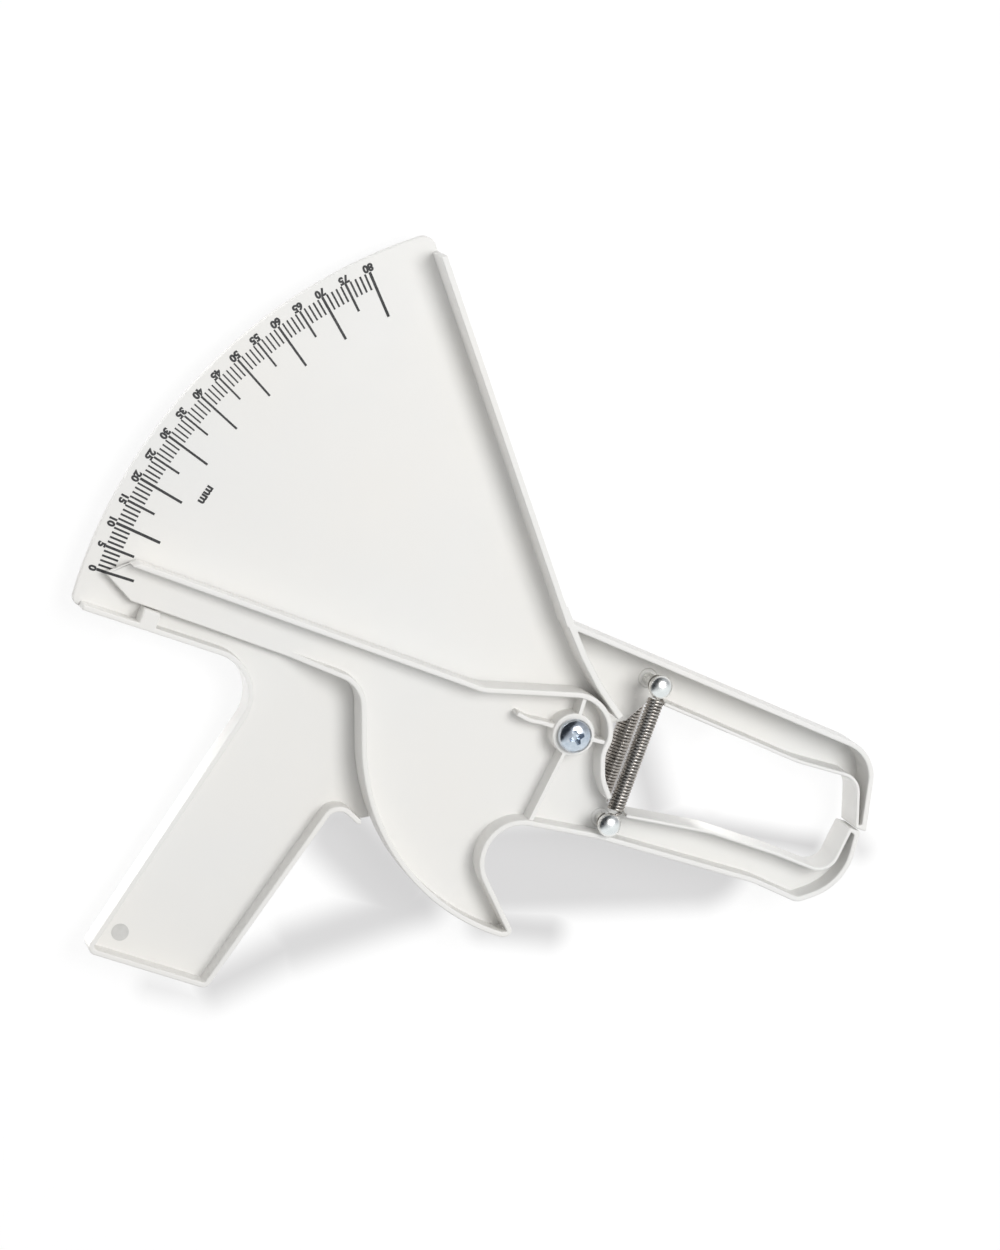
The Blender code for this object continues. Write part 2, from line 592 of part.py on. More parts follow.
def spring_points(height):
    """The wire's route: loop round the upper pin, close coil, loop round the lower pin."""
    span = (lower_post - upper_post).length
    down = polar(1.0, spring_angle)
    right = polar(1.0, spring_angle + 90.0)
    loop = PIN_RADIUS + CLEARANCE + WIRE / 2
    curls = int((span - 2 * HOOK_ROOM) / COIL_PITCH)
    coil_start = (span - curls * COIL_PITCH) / 2

    def place(along, side, rise):
        plan = upper_post + down * along + right * side
        return Vector((plan.x, plan.y, height + rise))

    def hook(from_lower):
        flip = -1.0 if from_lower else 1.0
        base = span if from_lower else 0.0
        tail = []
        end_angle = -48.0
        straight = polar(loop, end_angle) + polar(WIRE, end_angle + 90.0)
        tail.append(place(base + flip * straight.x, straight.y, 0.0))
        for i in range(11):
            angle = end_angle - i * (360.0 + end_angle - 78.0 + 48.0) / 10
            spot = polar(loop, angle)
            tail.append(place(base + flip * spot.x, spot.y, 0.0))
        return tail

    points = hook(False)
    steps = curls * POINTS_PER_CURL
    for i in range(steps + 1):
        turn = 2 * pi * i / POINTS_PER_CURL
        along = coil_start + COIL_PITCH * i / POINTS_PER_CURL
        points.append(place(along, COIL_OFFSET + COIL_RADIUS * cos(turn), COIL_RADIUS * sin(turn)))
    points += list(reversed(hook(True)))
    return points


def least_gap(points, tube):
    """The smallest space between two parts of a tube that aren't next to each other."""
    least = 1.0
    for i in range(len(points)):
        for j in range(i + 5, len(points)):
            least = min(least, (points[i] - points[j]).length)
    return least - tube


def spring(name, height):
    """An unbroken extension spring as a bevelled curve along its wire's route."""
    route = spring_points(height)
    curve = bpy.data.curves.new(name, "CURVE")
    curve.dimensions = "3D"
    curve.bevel_depth = WIRE / 2
    curve.bevel_resolution = 1
    curve.use_fill_caps = True
    curve.resolution_u = 1
    line = curve.splines.new("POLY")
    line.points.add(len(route) - 1)
    for i, point in enumerate(route):
        line.points[i].co = (*point, 1.0)
    thing = bpy.data.objects.new(name, curve)
    bpy.context.scene.collection.objects.link(thing)
    gap = least_gap(route, WIRE)
    print(name, "least gap to itself", round(gap * 1000, 3), "mm, points", len(route))
    assert gap > LEAST_COIL_GAP
    return thing


front_spring = spring("front_spring", FRONT_SPRING_HEIGHT)
rear_spring = spring("rear_spring", REAR_SPRING_HEIGHT)


# Looks
plastic = (0.86, 0.85, 0.83)
looks = {
    "frame": ("frame_plastic", plastic, 0.38, 0.0),
    "lever": ("lever_plastic", plastic, 0.38, 0.0),
    "pivot_screw": ("screw_zinc", (0.72, 0.75, 0.80), 0.22, 1.0),
    "pivot_bush": ("bush_steel", (0.60, 0.60, 0.58), 0.35, 1.0),
    "back_washer": ("washer_zinc", (0.66, 0.68, 0.72), 0.30, 1.0),
    "lock_nut": ("nut_zinc", (0.64, 0.66, 0.70), 0.30, 1.0),
    "upper_pin": ("upper_pin_nickel", (0.80, 0.80, 0.79), 0.15, 1.0),
    "upper_pin_cap": ("upper_cap_nickel", (0.80, 0.80, 0.79), 0.18, 1.0),
    "lower_pin": ("lower_pin_nickel", (0.80, 0.80, 0.79), 0.15, 1.0),
    "lower_pin_cap": ("lower_cap_nickel", (0.80, 0.80, 0.79), 0.18, 1.0),
    "front_spring": ("front_spring_steel", (0.42, 0.40, 0.38), 0.32, 1.0),
    "rear_spring": ("rear_spring_steel", (0.42, 0.40, 0.38), 0.32, 1.0),
}
for name, (slot, color, roughness, metallic) in looks.items():
    bpy.data.objects[name].data.materials.append(material(slot, color, roughness, metallic))


# The row's origin is below the middle of the plan, at the lowest cap's crown
plan = frame_outline + lever_outline
plan_middle = Vector((
    (min(p.x for p in plan) + max(p.x for p in plan)) / 2,
    (min(p.y for p in plan) + max(p.y for p in plan)) / 2,
))
lowest = -CAP_SEAT - CAP_HEIGHT
stand = bpy.data.objects.new("caliper_stand", None)
bpy.context.scene.collection.objects.link(stand)
stand.location = (-plan_middle.x, -plan_middle.y, -lowest)
lever_pivot = bpy.data.objects.new("lever_pivot", None)
bpy.context.scene.collection.objects.link(lever_pivot)
lever_pivot.parent = stand
for name in looks:
    moves = name in ("lever", "lower_pin", "lower_pin_cap")
    bpy.data.objects[name].parent = lever_pivot if moves else stand
print("pivot axis at", round(-plan_middle.x, 6), round(-plan_middle.y, 6), "back plane at", round(-lowest, 6))
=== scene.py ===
# %% [markdown]
# # A moulded skinfold caliper, dressed for its portrait
# The tool is two white mouldings that turn about one screw. The frame carries the fan-shaped
# scale, the handle and the upper jaw. The lever carries the pointer arm, the trigger and the lower
# jaw. Two extension springs close the jaws. The solids come in as a fixed frame of nodes and
# bodies, and each cell below adds one piece of detail where its solid sits.

# %% Load the solids
from math import acos, atan2, ceil, cos, degrees, pi, radians, sin, sqrt, tan

import bmesh
import bpy
from mathutils import Matrix, Vector
from mathutils.geometry import delaunay_2d_cdt


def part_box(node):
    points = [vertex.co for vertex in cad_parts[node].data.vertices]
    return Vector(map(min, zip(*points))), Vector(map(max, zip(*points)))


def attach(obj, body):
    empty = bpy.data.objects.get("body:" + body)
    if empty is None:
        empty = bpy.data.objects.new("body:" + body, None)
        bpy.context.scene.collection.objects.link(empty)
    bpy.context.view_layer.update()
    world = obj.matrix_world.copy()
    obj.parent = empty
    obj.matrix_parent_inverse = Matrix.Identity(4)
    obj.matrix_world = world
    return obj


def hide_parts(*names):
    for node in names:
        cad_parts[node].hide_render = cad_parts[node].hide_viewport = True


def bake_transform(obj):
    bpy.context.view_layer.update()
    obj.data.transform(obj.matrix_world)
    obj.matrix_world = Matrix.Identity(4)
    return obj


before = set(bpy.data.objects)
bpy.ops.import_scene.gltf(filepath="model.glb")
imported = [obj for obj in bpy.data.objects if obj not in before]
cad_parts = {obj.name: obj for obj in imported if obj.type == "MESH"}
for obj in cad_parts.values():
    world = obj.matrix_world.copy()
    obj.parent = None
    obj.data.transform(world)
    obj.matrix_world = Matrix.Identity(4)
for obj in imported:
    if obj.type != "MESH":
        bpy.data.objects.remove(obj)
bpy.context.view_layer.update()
FRAME_BODY = "frame_body"
LEVER_BODY = "lever_body"
screw_low, screw_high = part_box("pivot_screw")
PIVOT = Vector(((screw_low.x + screw_high.x) / 2, (screw_low.y + screw_high.y) / 2))
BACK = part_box("frame")[0].z
print("screw axis at", [round(v * 1000, 2) for v in PIVOT], "mm")
print("the frame's back is", round(BACK * 1000, 2), "mm above the floor")

# %% [markdown]
# ## Two small helpers
# Every piece in this scene ends the same way: its mesh is made from a bmesh, and an object that
# holds the mesh is linked to the scene. Writing that down once keeps the later cells about shape.

# %% New meshes and objects
def mesh_from(name, bm):
    """Turns a finished bmesh into a mesh and frees it."""
    mesh = bpy.data.meshes.new(name)
    bm.to_mesh(mesh)
    bm.free()
    return mesh


def added(name, data, place=(0.0, 0.0, 0.0)):
    """A new object in the scene that holds some data, at a place."""
    thing = bpy.data.objects.new(name, data)
    bpy.context.scene.collection.objects.link(thing)
    thing.location = place
    return thing


ON_FRAME = Vector((PIVOT.x, PIVOT.y, BACK))
print("pieces are drawn about", [round(v * 1000, 2) for v in ON_FRAME], "mm")

# %% [markdown]
# ## Camera
# The picture was taken with a long lens from a little to the left of square-on and a little above.
# A long lens far away keeps the outline almost flat, so parallel edges stay parallel. The camera is
# set from the screw: its place in metres from the screw's foot, and the three directions of its
# view. Blender's camera looks down its own -Z, so its matrix is built from right, up and back.

# %% Camera at the picture's angle
CAMERA_FROM_SCREW = Vector((-0.34241, 0.29768, 1.28435))
CAMERA_TURN = 14.06
CAMERA_RISE = 11.26
CAMERA_LENS = 121.75

view_back = Vector((-sin(radians(CAMERA_TURN)) * cos(radians(CAMERA_RISE)),
                    sin(radians(CAMERA_RISE)),
                    cos(radians(CAMERA_TURN)) * cos(radians(CAMERA_RISE))))
view_right = Vector((0.0, 1.0, 0.0)).cross(view_back).normalized()
view_up = view_back.cross(view_right)
camera = added("portrait_camera", bpy.data.cameras.new("portrait_camera"))
view_axes = Matrix((view_right, view_up, view_back)).transposed().to_4x4()
camera.matrix_world = Matrix.Translation(CAMERA_FROM_SCREW + ON_FRAME) @ view_axes
camera.data.lens = CAMERA_LENS
camera.data.sensor_width = 36.0
camera.data.clip_end = 20.0
bpy.context.scene.camera = camera
bpy.context.scene.view_settings.view_transform = "Standard"
print("camera", round(camera.location.length, 3), "m from the origin")

# %% [markdown]
# ## Drawing in plan
# Both mouldings are flat plates with walls, so everything starts as lines on paper. The screw is
# the centre of the paper, and a point is easiest to give as a radius and an angle, or as a step
# along a direction and a step to its left. Corners are rounded by replacing them with an arc that
# touches both sides. These few helpers are all the drafting that the two mouldings need.

# %% Plan helpers
HERE = Vector((0.0, 0.0))
SAME_POINT = 0.00004


def polar(radius, angle):
    """A point at a radius and an angle in degrees, from the screw."""
    return Vector((radius * cos(radians(angle)), radius * sin(radians(angle))))


def beside(angle, distance, side):
    """A point some way along a direction, and a step to its left."""
    return polar(distance, angle) + polar(side, angle + 90.0)


def crossing(first, first_angle, second, second_angle):
    """Where two lines cross, each given by a point and an angle."""
    a, b, gap = polar(1.0, first_angle), polar(1.0, second_angle), second - first
    return first + a * ((gap.x * b.y - gap.y * b.x) / (a.x * b.y - a.y * b.x))


def bearing(start, end):
    """The angle from one point to another."""
    return degrees(atan2(end.y - start.y, end.x - start.x))


def arc(centre, radius, start, end, step=6.0):
    """Points on an arc, at most a step of degrees apart."""
    count = max(2, ceil(abs(end - start) / step))
    return [centre + polar(radius, start + (end - start) * i / count) for i in range(count + 1)]


print("a quarter turn is drawn as", len(arc(HERE, 0.010, 0.0, 90.0)) - 1, "short lines")


# %% [markdown]
# ## Rounded corners and walls
# Moulded parts have few bare corners in plan: a melt flows badly round them and they crack. A path
# is written as corners with a radius each, and filleted swaps each corner for an arc that touches
# both sides. A wall is then the path and the same path moved to its left by the wall's width.

# %% Rounded paths
def filleted(corners, step=6.0):
    """A path of corners, each swapped for an arc of its radius."""
    path = [corners[0][0]]
    for i in range(1, len(corners) - 1):
        point, radius = corners[i]
        if radius == 0:
            path.append(point)
            continue
        before = (corners[i - 1][0] - point).normalized()
        after = (corners[i + 1][0] - point).normalized()
        half = before.angle(after) / 2
        room = min((corners[i - 1][0] - point).length, (corners[i + 1][0] - point).length)
        reach = min(radius / tan(half), room * 0.98)
        size = reach * tan(half)
        middle = point + (before + after).normalized() * (size / sin(half))
        start = bearing(middle, point + before * reach)
        end = bearing(middle, point + after * reach)
        path += arc(middle, size, start, start + (end - start + 180.0) % 360.0 - 180.0, step)
    return path + [corners[-1][0]]


square_corner = [(HERE, 0), (Vector((0.020, 0.0)), 0.004), (Vector((0.020, 0.020)), 0)]
print("a square corner of 4 mm radius becomes", len(filleted(square_corner)), "points")


# %% Walls beside a path
def tidy(path):
    """The path without points that lie on top of each other."""
    kept = []
    for point in path:
        if not kept or (point - kept[-1]).length > SAME_POINT:
            kept.append(point)
    return kept


def shifted(path, widths):
    """The path moved to its left by a width at each point."""
    moved = []
    for i, point in enumerate(path):
        normals = []
        for a, b in ((i - 1, i), (i, i + 1)):
            if a >= 0 and b < len(path):
                run = (path[b] - path[a]).normalized()
                normals.append(Vector((-run.y, run.x)))
        normal = sum(normals, Vector((0.0, 0.0))).normalized()
        moved.append(point + normal * (widths[i] / max(0.3, normal.dot(normals[0]))))
    return moved


def wall(path, width, lip=None, lip_from=None):
    """A wall's outline: the path, and the same path moved to its left."""
    path = tidy(path)
    start = path.index(lip_from) if lip_from else len(path)
    widths = [width if i < start else lip for i in range(len(path))]
    return path + list(reversed(shifted(path, widths)))


print("a wall beside that corner has", len(wall(filleted(square_corner), 0.002)), "points")


# %% Bars and discs
def bar(start, end, width):
    """A straight bar about a line."""
    side = (end - start).normalized().orthogonal() * (width / 2)
    return [start + side, end + side, end - side, start - side]


def disc(centre, radius, sides=48):
    """A round outline."""
    return [centre + polar(radius, 360.0 * i / sides) for i in range(sides)]


print("a disc has", len(disc(HERE, 0.001)), "corners, a bar has", len(bar(HERE, polar(1, 0), 1)))


# %% [markdown]
# ## From plan to moulding
# A moulding of plates and walls could be joined from blocks with booleans, but coinciding faces
# make those fragile. Here the outlines are laid over each other and cut into cells with a
# constrained triangulation. Each cell then knows the lowest and the highest face of every outline
# that covers it, so it becomes one clean prism. Neighbours of unlike height get a side face
# between them. The result is one closed skin, with no face hidden inside it.

# %% Cells of the plan
MILLI = 1000.0
WELD_GAP = 0.00002


def anticlockwise(ring):
    """A closed outline that runs anticlockwise."""
    ring = tidy(ring)
    if (ring[0] - ring[-1]).length < SAME_POINT:
        ring = ring[:-1]
    area = sum(a.x * b.y - b.x * a.y for a, b in zip(ring, ring[1:] + ring[:1]))
    return ring if area > 0 else list(reversed(ring))


def cells_of(layers, holes):
    """Cuts the plan into cells, with the lowest and highest face over each."""
    rings = [anticlockwise(ring) for ring in [layer[0] for layer in layers] + holes]
    points, faces = [], []
    for ring in rings:
        faces.append(list(range(len(points), len(points) + len(ring))))
        points += [p * MILLI for p in ring]
    flat, _, cells, _, _, owners = delaunay_2d_cdt(points, [], faces, 4, 0.1)
    spans = []
    for own in owners:
        covers = [i for i in own if i < len(layers)]
        open_cell = any(i >= len(layers) for i in own) or not covers
        spans.append(None if open_cell else (min(layers[i][1] for i in covers),
                                             max(layers[i][2] for i in covers)))
    return [p / MILLI for p in flat], cells, spans


# %% Side faces
def side_face(bm, corner, levels, ends, low, high):
    """One side face between two heights, with a corner at every level that it passes."""
    posts = []
    for end in ends:
        posts.append(sorted({low, high} | {z for z in levels[end] if low <= z <= high}))
    foot, head = posts
    bm.faces.new([corner(ends[0], z) for z in foot] + [corner(ends[1], z) for z in reversed(head)])


# %% Closed skin of the cells
def skin_of(flat, cells, spans):
    """The closed skin round all cells, as one bmesh."""
    levels, beside_edge, made = {}, {}, {}
    for cell, span in zip(cells, spans):
        if span is None:
            continue
        for i, a in enumerate(cell):
            b = cell[(i + 1) % len(cell)]
            levels.setdefault(a, set()).update(span)
            beside_edge.setdefault((min(a, b), max(a, b)), []).append(span)
    bm = bmesh.new()

    def corner(v, z):
        if (v, z) not in made:
            made[v, z] = bm.verts.new((flat[v].x, flat[v].y, z))
        return made[v, z]

    for cell, span in zip(cells, spans):
        if span is not None:
            bm.faces.new([corner(v, span[1]) for v in cell])
            bm.faces.new([corner(v, span[0]) for v in reversed(cell)])
    for ends, found in beside_edge.items():
        heights = sorted({z for v in ends for z in levels[v]})
        for low, high in zip(heights, heights[1:]):
            if sum(1 for s in found if s[0] <= low and s[1] >= high) == 1:
                side_face(bm, corner, levels, ends, low, high)
    return bm


# %% A moulding from its outlines
def moulding(name, layers, holes, height_at=None):
    """One closed skin from outlines with their low and high faces."""
    bm = skin_of(*cells_of(layers, holes))
    bmesh.ops.remove_doubles(bm, verts=bm.verts, dist=WELD_GAP)
    bmesh.ops.recalc_face_normals(bm, faces=bm.faces)
    if height_at:
        moved = [v for v in bm.verts if height_at(v.co) != v.co.z]
        for vertex in moved:
            vertex.co.z = height_at(vertex.co)
        bmesh.ops.remove_doubles(bm, verts=bm.verts, dist=WELD_GAP)
        moved = [v for v in moved if v.is_valid]
        bmesh.ops.triangulate(bm, faces=list({f for v in moved for f in v.link_faces}))
    bmesh.ops.dissolve_limit(bm, angle_limit=radians(0.5), verts=bm.verts, edges=bm.edges)
    open_edges = sum(1 for e in bm.edges if len(e.link_faces) != 2)
    piece = added(name, mesh_from(name, bm), ON_FRAME)
    print(name, len(piece.data.polygons), "faces,", open_edges, "open edges")
    return piece


# %% [markdown]
# ## Breaking the edges
# A real mould has no sharp edge anywhere, and the soft line of light along each rim comes from
# that. A Bevel modifier could round everything at one width, but narrow ribs and steps have no
# room for it and the faces would fold over each other. So each sharp edge first gets a weight, the
# share of the full width that its neighbours leave it, and inner edges get a smaller share still.

# %% Room for each rounding
MOULD_ROUNDING = 0.00055
INNER_SHARE = 0.4
SHARP = radians(35.0)
TURNS = radians(25.0)
print("edges are rounded by", MOULD_ROUNDING * 1000, "mm where there is room")


def room_for_rounding(bm, width):
    """The widest rounding that each sharp edge has room for between its neighbours."""
    room = {}
    for found in bm.edges:
        if found.calc_face_angle() > SHARP:
            room[found] = width if found.is_convex else width * INNER_SHARE
    for vertex in bm.verts:
        meeting = [e for e in vertex.link_edges if e in room]
        for a in meeting:
            run = a.other_vert(vertex).co - vertex.co
            for b in meeting:
                if b is not a and (b.other_vert(vertex).co - vertex.co).angle(-run) > TURNS:
                    room[b] = min(room[b], a.calc_length() * 0.42)
    return room


# %% [markdown]
# ## Clean level faces
# After the rounding, a web is still one huge face with many corners and holes, and Blender cuts
# such faces into long thin triangles that show as dark slivers. Each level region is therefore
# emptied and filled again inside its rounded border. Its corners' normals are then pointed
# straight out, so that only the narrow rounding between two flat faces bends the light.

# %% Level regions
LEVEL, UPRIGHT = 0.999, 0.001
print("faces within", round(degrees(acos(LEVEL)), 1), "degrees of level count as level")


def region_around(face, waiting):
    """All level faces that hang together with a face, taken out of those that are waiting."""
    region, edge_of_search = set(), [face]
    while edge_of_search:
        face = edge_of_search.pop()
        region.add(face)
        for near in (f for e in face.edges for f in e.link_faces if f in waiting):
            if near.normal.z * face.normal.z > 0:
                waiting.discard(near)
                edge_of_search.append(near)
    return region


def area_inside(region, border):
    """The signed area inside a border, from its corners alone."""
    size = 0.0
    for face in region:
        for loop in face.loops:
            if loop.edge in border:
                a, b = loop.vert.co, loop.link_loop_next.vert.co
                size += (a.x * b.y - b.x * a.y) / 2
    return size


# %% Filling level regions again
def refill_level_faces(bm):
    """Fills each level region again and returns how far the areas are off."""
    waiting = {f for f in bm.faces if abs(f.normal.z) > LEVEL}
    lost = 0.0
    while waiting:
        first = waiting.pop()
        region = region_around(first, waiting)
        if len(region) == 1 and len(first.verts) < 5:
            continue
        up = 1.0 if first.normal.z > 0 else -1.0
        edges = {e for f in region for e in f.edges}
        border = {e for e in edges if sum(1 for n in e.link_faces if n in region) == 1}
        size = abs(area_inside(region, border))
        bmesh.ops.delete(bm, geom=list(region), context="FACES_ONLY")
        bmesh.ops.delete(bm, geom=list(edges - border), context="EDGES")
        filled = bmesh.ops.triangle_fill(bm, edges=list(border), use_beauty=True,
                                         use_dissolve=False, normal=(0.0, 0.0, up))
        new_faces = [g for g in filled["geom"] if isinstance(g, bmesh.types.BMFace)]
        for face in new_faces:
            if face.normal.z * up < 0:
                face.normal_flip()
        lost += abs(size - sum(f.calc_area() for f in new_faces))
    return lost


# %% Normals of flat faces
def flat_face_normals(mesh):
    """Points flat faces' corners straight out, so that only the rounding between them bends."""
    aim = [Vector() for _ in mesh.vertices]
    for face in mesh.polygons:
        if abs(face.normal.z) > LEVEL or abs(face.normal.z) < UPRIGHT:
            for i in face.vertices:
                aim[i] += face.normal * face.area
    mesh.normals_split_custom_set_from_vertices(
        [a.normalized() if a.length > 1e-10 else v.normal for a, v in zip(aim, mesh.vertices)])


def applied(piece):
    """The piece's mesh with its modifiers worked in."""
    bpy.context.view_layer.update()
    whole = piece.evaluated_get(bpy.context.evaluated_depsgraph_get())
    mesh = bpy.data.meshes.new_from_object(whole)
    piece.modifiers.clear()
    return mesh


# %% Rounding of the edges
def break_edges(piece, width=MOULD_ROUNDING, segments=3):
    """Rounds every edge, as a mould's broken corners do."""
    bm = bmesh.new()
    bm.from_mesh(piece.data)
    weight = bm.edges.layers.float.new("bevel_weight_edge")
    for found, room in room_for_rounding(bm, width).items():
        found[weight] = room / width
    bm.to_mesh(piece.data)
    edge = piece.modifiers.new("broken_edges", "BEVEL")
    edge.limit_method = "WEIGHT"
    edge.width = width
    edge.segments = segments
    edge.use_clamp_overlap = False
    edge.miter_outer = "MITER_ARC"
    rounded = applied(piece)
    bm.clear()
    bm.from_mesh(rounded)
    lost = refill_level_faces(bm)
    bm.to_mesh(rounded)
    bm.free()
    piece.data = rounded
    rounded.shade_smooth()
    flat_face_normals(rounded)
    print(piece.name, "rounded,", len(rounded.polygons), "faces, level areas off by",
          round(lost * 1e6, 1), "square mm")


# %% [markdown]
# ## The frame's outline
# The scale plate is a fan between two straight edges that run just outside the first and the last
# mark. The handle hangs from its low corner, and the upper jaw leaves from its foot on the right.
# The path runs anticlockwise, so a wall is always on its left, inside the edge. The sizes come
# first: everything else in the plan is worked out from them.

# %% Frame sizes
WEB = 0.0025
RIM = 0.0018
LIP = 0.0012
FULL_DEPTH = 0.015
LOW_RIM = 0.010
SECTOR_RADIUS = 0.166
SECTOR_END, SECTOR_START = 108.9, 159.1
JAW_REACH = 0.1035
CONTACT_ANGLE = -21.0
CONTACT_GAP = 0.0005
CONTACT_FACE = 0.0040
BLADE_RADIUS = 0.0693
HUB_RADIUS = 0.0135
POST_RADIUS = 0.0315
upper_post = polar(POST_RADIUS, 28.0)
lower_post = polar(POST_RADIUS, -69.5)


def reach(x_share, y_share):
    """A point of the jaws, as shares of their reach from the screw."""
    return Vector((x_share * JAW_REACH, y_share * JAW_REACH))


upper_nose = reach(0.9868, -0.1085)
plate_foot = crossing(beside(SECTOR_END, 0.0, -0.011), SECTOR_END, upper_nose, 155.1)
top_corner = beside(SECTOR_END, sqrt(SECTOR_RADIUS ** 2 - 0.011 ** 2), -0.011)
low_corner = beside(SECTOR_START, sqrt(SECTOR_RADIUS ** 2 - 0.0116 ** 2), 0.0116)
top_arc_end = polar(SECTOR_RADIUS, bearing(HERE, top_corner) + degrees(0.0045 / SECTOR_RADIUS))
low_arc_end = polar(SECTOR_RADIUS, bearing(HERE, low_corner) - degrees(0.004 / SECTOR_RADIUS))
print("scale plate corners", [round(v * 1000, 1) for v in (*top_corner, *low_corner)])

# %% [markdown]
# ## Handle, nose and upper jaw
# The handle is a parallel grip with square, lightly rounded corners. Its front ends in a small
# nose that reaches under the trigger, and from there the plate runs hidden below the lever to the
# screw. The upper jaw comes back from its contact face along a lip and a back. The lines are given
# by where they cross, as on a drawing, so one changed size moves every corner that hangs on it.

# %% Handle, nose and upper jaw
handle_back = beside(235.0, 0.0, -0.0937)
handle_front = beside(233.3, 0.0, -0.0495)
handle_end = beside(SECTOR_START, 0.0, 0.1143)
handle_top = crossing(low_corner, SECTOR_START, handle_back, 235.0)
handle_low_back = crossing(handle_end, SECTOR_START, handle_back, 235.0)
handle_low_front = crossing(handle_end, SECTOR_START, handle_front, 233.3)
nose_top = beside(233.3, sqrt((BLADE_RADIUS + 0.0095) ** 2 - 0.0495 ** 2), -0.0495)
nose_tip = Vector((-0.0697, -0.0263))
nose_end = Vector((-0.0640, -0.0258))
under_blade = Vector((RIM + HUB_RADIUS - BLADE_RADIUS, 0.003))

sector_path = filleted([(plate_foot, 0), (top_corner, 0.0042), (top_arc_end, 0)])
sector_path += arc(HERE, SECTOR_RADIUS, bearing(HERE, top_arc_end), bearing(HERE, low_arc_end), 1.5)
corner_path = filleted([(low_arc_end, 0), (low_corner, 0.0030), (handle_top, 0)])[:-1]
handle_path = filleted([
    (corner_path[-1], 0), (handle_top, 0.0135), (handle_low_back, 0.0028),
    (handle_low_front, 0.0028), (nose_top, 0.004), (nose_tip, 0.0022), (nose_end, 0.0015),
    (under_blade, 0)])
handle_rim = corner_path[-1:] + [p for p in handle_path[1:] if p.length > BLADE_RADIUS + 0.0022]
hidden_path = [Vector((-0.014, 0.003))]
hidden_path += arc(HERE, 0.011, 190.0, 348.0) + [Vector((0.0140, 0.0002))]
contact_in = beside(CONTACT_ANGLE, JAW_REACH - CONTACT_FACE / 2, CONTACT_GAP / 2)
contact_out = beside(CONTACT_ANGLE, JAW_REACH + CONTACT_FACE / 2, CONTACT_GAP / 2)
upper_root = Vector((0.0205, 0.0010))
upper_lip = filleted([(reach(0.285, 0.079), 0), (reach(0.724, -0.129), 0.03),
                      (reach(0.920, -0.193), 0.006), (contact_in, 0)])
upper_back = filleted([(contact_out, 0), (upper_nose, 0.0135), (plate_foot, 0)])
frame_outline = (sector_path + corner_path[1:] + handle_path[1:] + hidden_path + [upper_root]
                 + upper_lip + upper_back[:-1])
print("frame outline of", len(frame_outline), "points")

# %% [markdown]
# ## The frame in one piece
# On the web, which is 2.5 mm thick, stand the handle's low rim, the jaw's tall rim, the rib that
# ties the scale plate to the jaw, the stop tab on which the arm rests, and a low boss round the
# pin. Each is one outline with a low and a high face, and the moulding builder merges them.

# %% Frame moulding
PIN_BOSS, BOSS_RISE = 0.0032, 0.0004
edge_rib_top = top_corner + polar(0.0058, SECTOR_END + 180.0)
jaw_walls = list(reversed(upper_lip + upper_back + [edge_rib_top]))
root_rib = filleted([(beside(SECTOR_END, 0.040, -0.0092), 0), (Vector((0.0022, 0.0250)), 0.030),
                     (Vector((0.0075, 0.0148)), 0.030), (Vector((0.0145, 0.0042)), 0)], 3.0)
ARM_ANGLE = 157.9
arm_low_line = beside(ARM_ANGLE, 0.0, 0.0078)
stop_top = crossing(arm_low_line + polar(0.0003, ARM_ANGLE + 90.0), ARM_ANGLE,
                    beside(ARM_ANGLE, SECTOR_RADIUS - 0.0245, 0.0), ARM_ANGLE + 90.0)
stop_foot = crossing(low_corner, SECTOR_START, stop_top, ARM_ANGLE + 90.0)
stop_foot += (stop_top - stop_foot).normalized() * 0.0009
ejector_spot = Vector((-0.1452, -0.0584))

frame_moulding = moulding("frame_moulding", [
    (frame_outline, 0.0, WEB),
    (wall(handle_rim, RIM), 0.0, LOW_RIM),
    (wall(jaw_walls, -RIM, -LIP, contact_in), 0.0, FULL_DEPTH),
    (wall(root_rib, 0.0022), 0.0, FULL_DEPTH),
    (bar(stop_top, stop_foot, 0.0055), 0.0, LOW_RIM),
    (disc(upper_post, PIN_BOSS), 0.0, WEB + BOSS_RISE),
], [disc(HERE, 0.0028)])
break_edges(frame_moulding)
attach(frame_moulding, FRAME_BODY)
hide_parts("frame")

# %% [markdown]
# ## The lever's outline
# The lever starts at the arm's lower edge, falls into the trigger blade, which is an arc about the
# screw, turns round the finger hook and runs out as the lower jaw. Its hub is a ring about the
# screw, and the arm leaves it on the left as a plate with one tall rib along its upper edge.

# %% Lever paths
blade_edge = Vector((-BLADE_RADIUS, 0.0))
blade_corner = crossing(arm_low_line, ARM_ANGLE, blade_edge, 90.0)
arm_foot = blade_corner + polar(0.0240, ARM_ANGLE)
blade_path = filleted([(arm_foot, 0), (blade_corner, 0.010), (blade_edge, 0)])
blade_path += arc(HERE, BLADE_RADIUS, 180.0, 249.6, 1.5)[1:]
finger_arc = arc(polar(BLADE_RADIUS - 0.0252, 246.6), 0.012, 204.5, 75.3)
hook_tip = blade_path[-1] + polar(0.0047, 2.0)
hook_path = filleted([(blade_path[-1], 0), (hook_tip, 0.002), (finger_arc[0], 0)]) + finger_arc[1:]
low_contact_in = beside(CONTACT_ANGLE, JAW_REACH - 0.0018 - CONTACT_FACE / 2, -CONTACT_GAP / 2)
low_contact_out = beside(CONTACT_ANGLE, JAW_REACH - 0.0018 + CONTACT_FACE / 2, -CONTACT_GAP / 2)
belly = filleted([
    (finger_arc[-1], 0), (reach(0.079, -0.334), 0.05), (reach(0.580, -0.505), 0.03),
    (reach(0.7266, -0.579), 0.005), (reach(0.888, -0.537), 0.020), (low_contact_out, 0)])
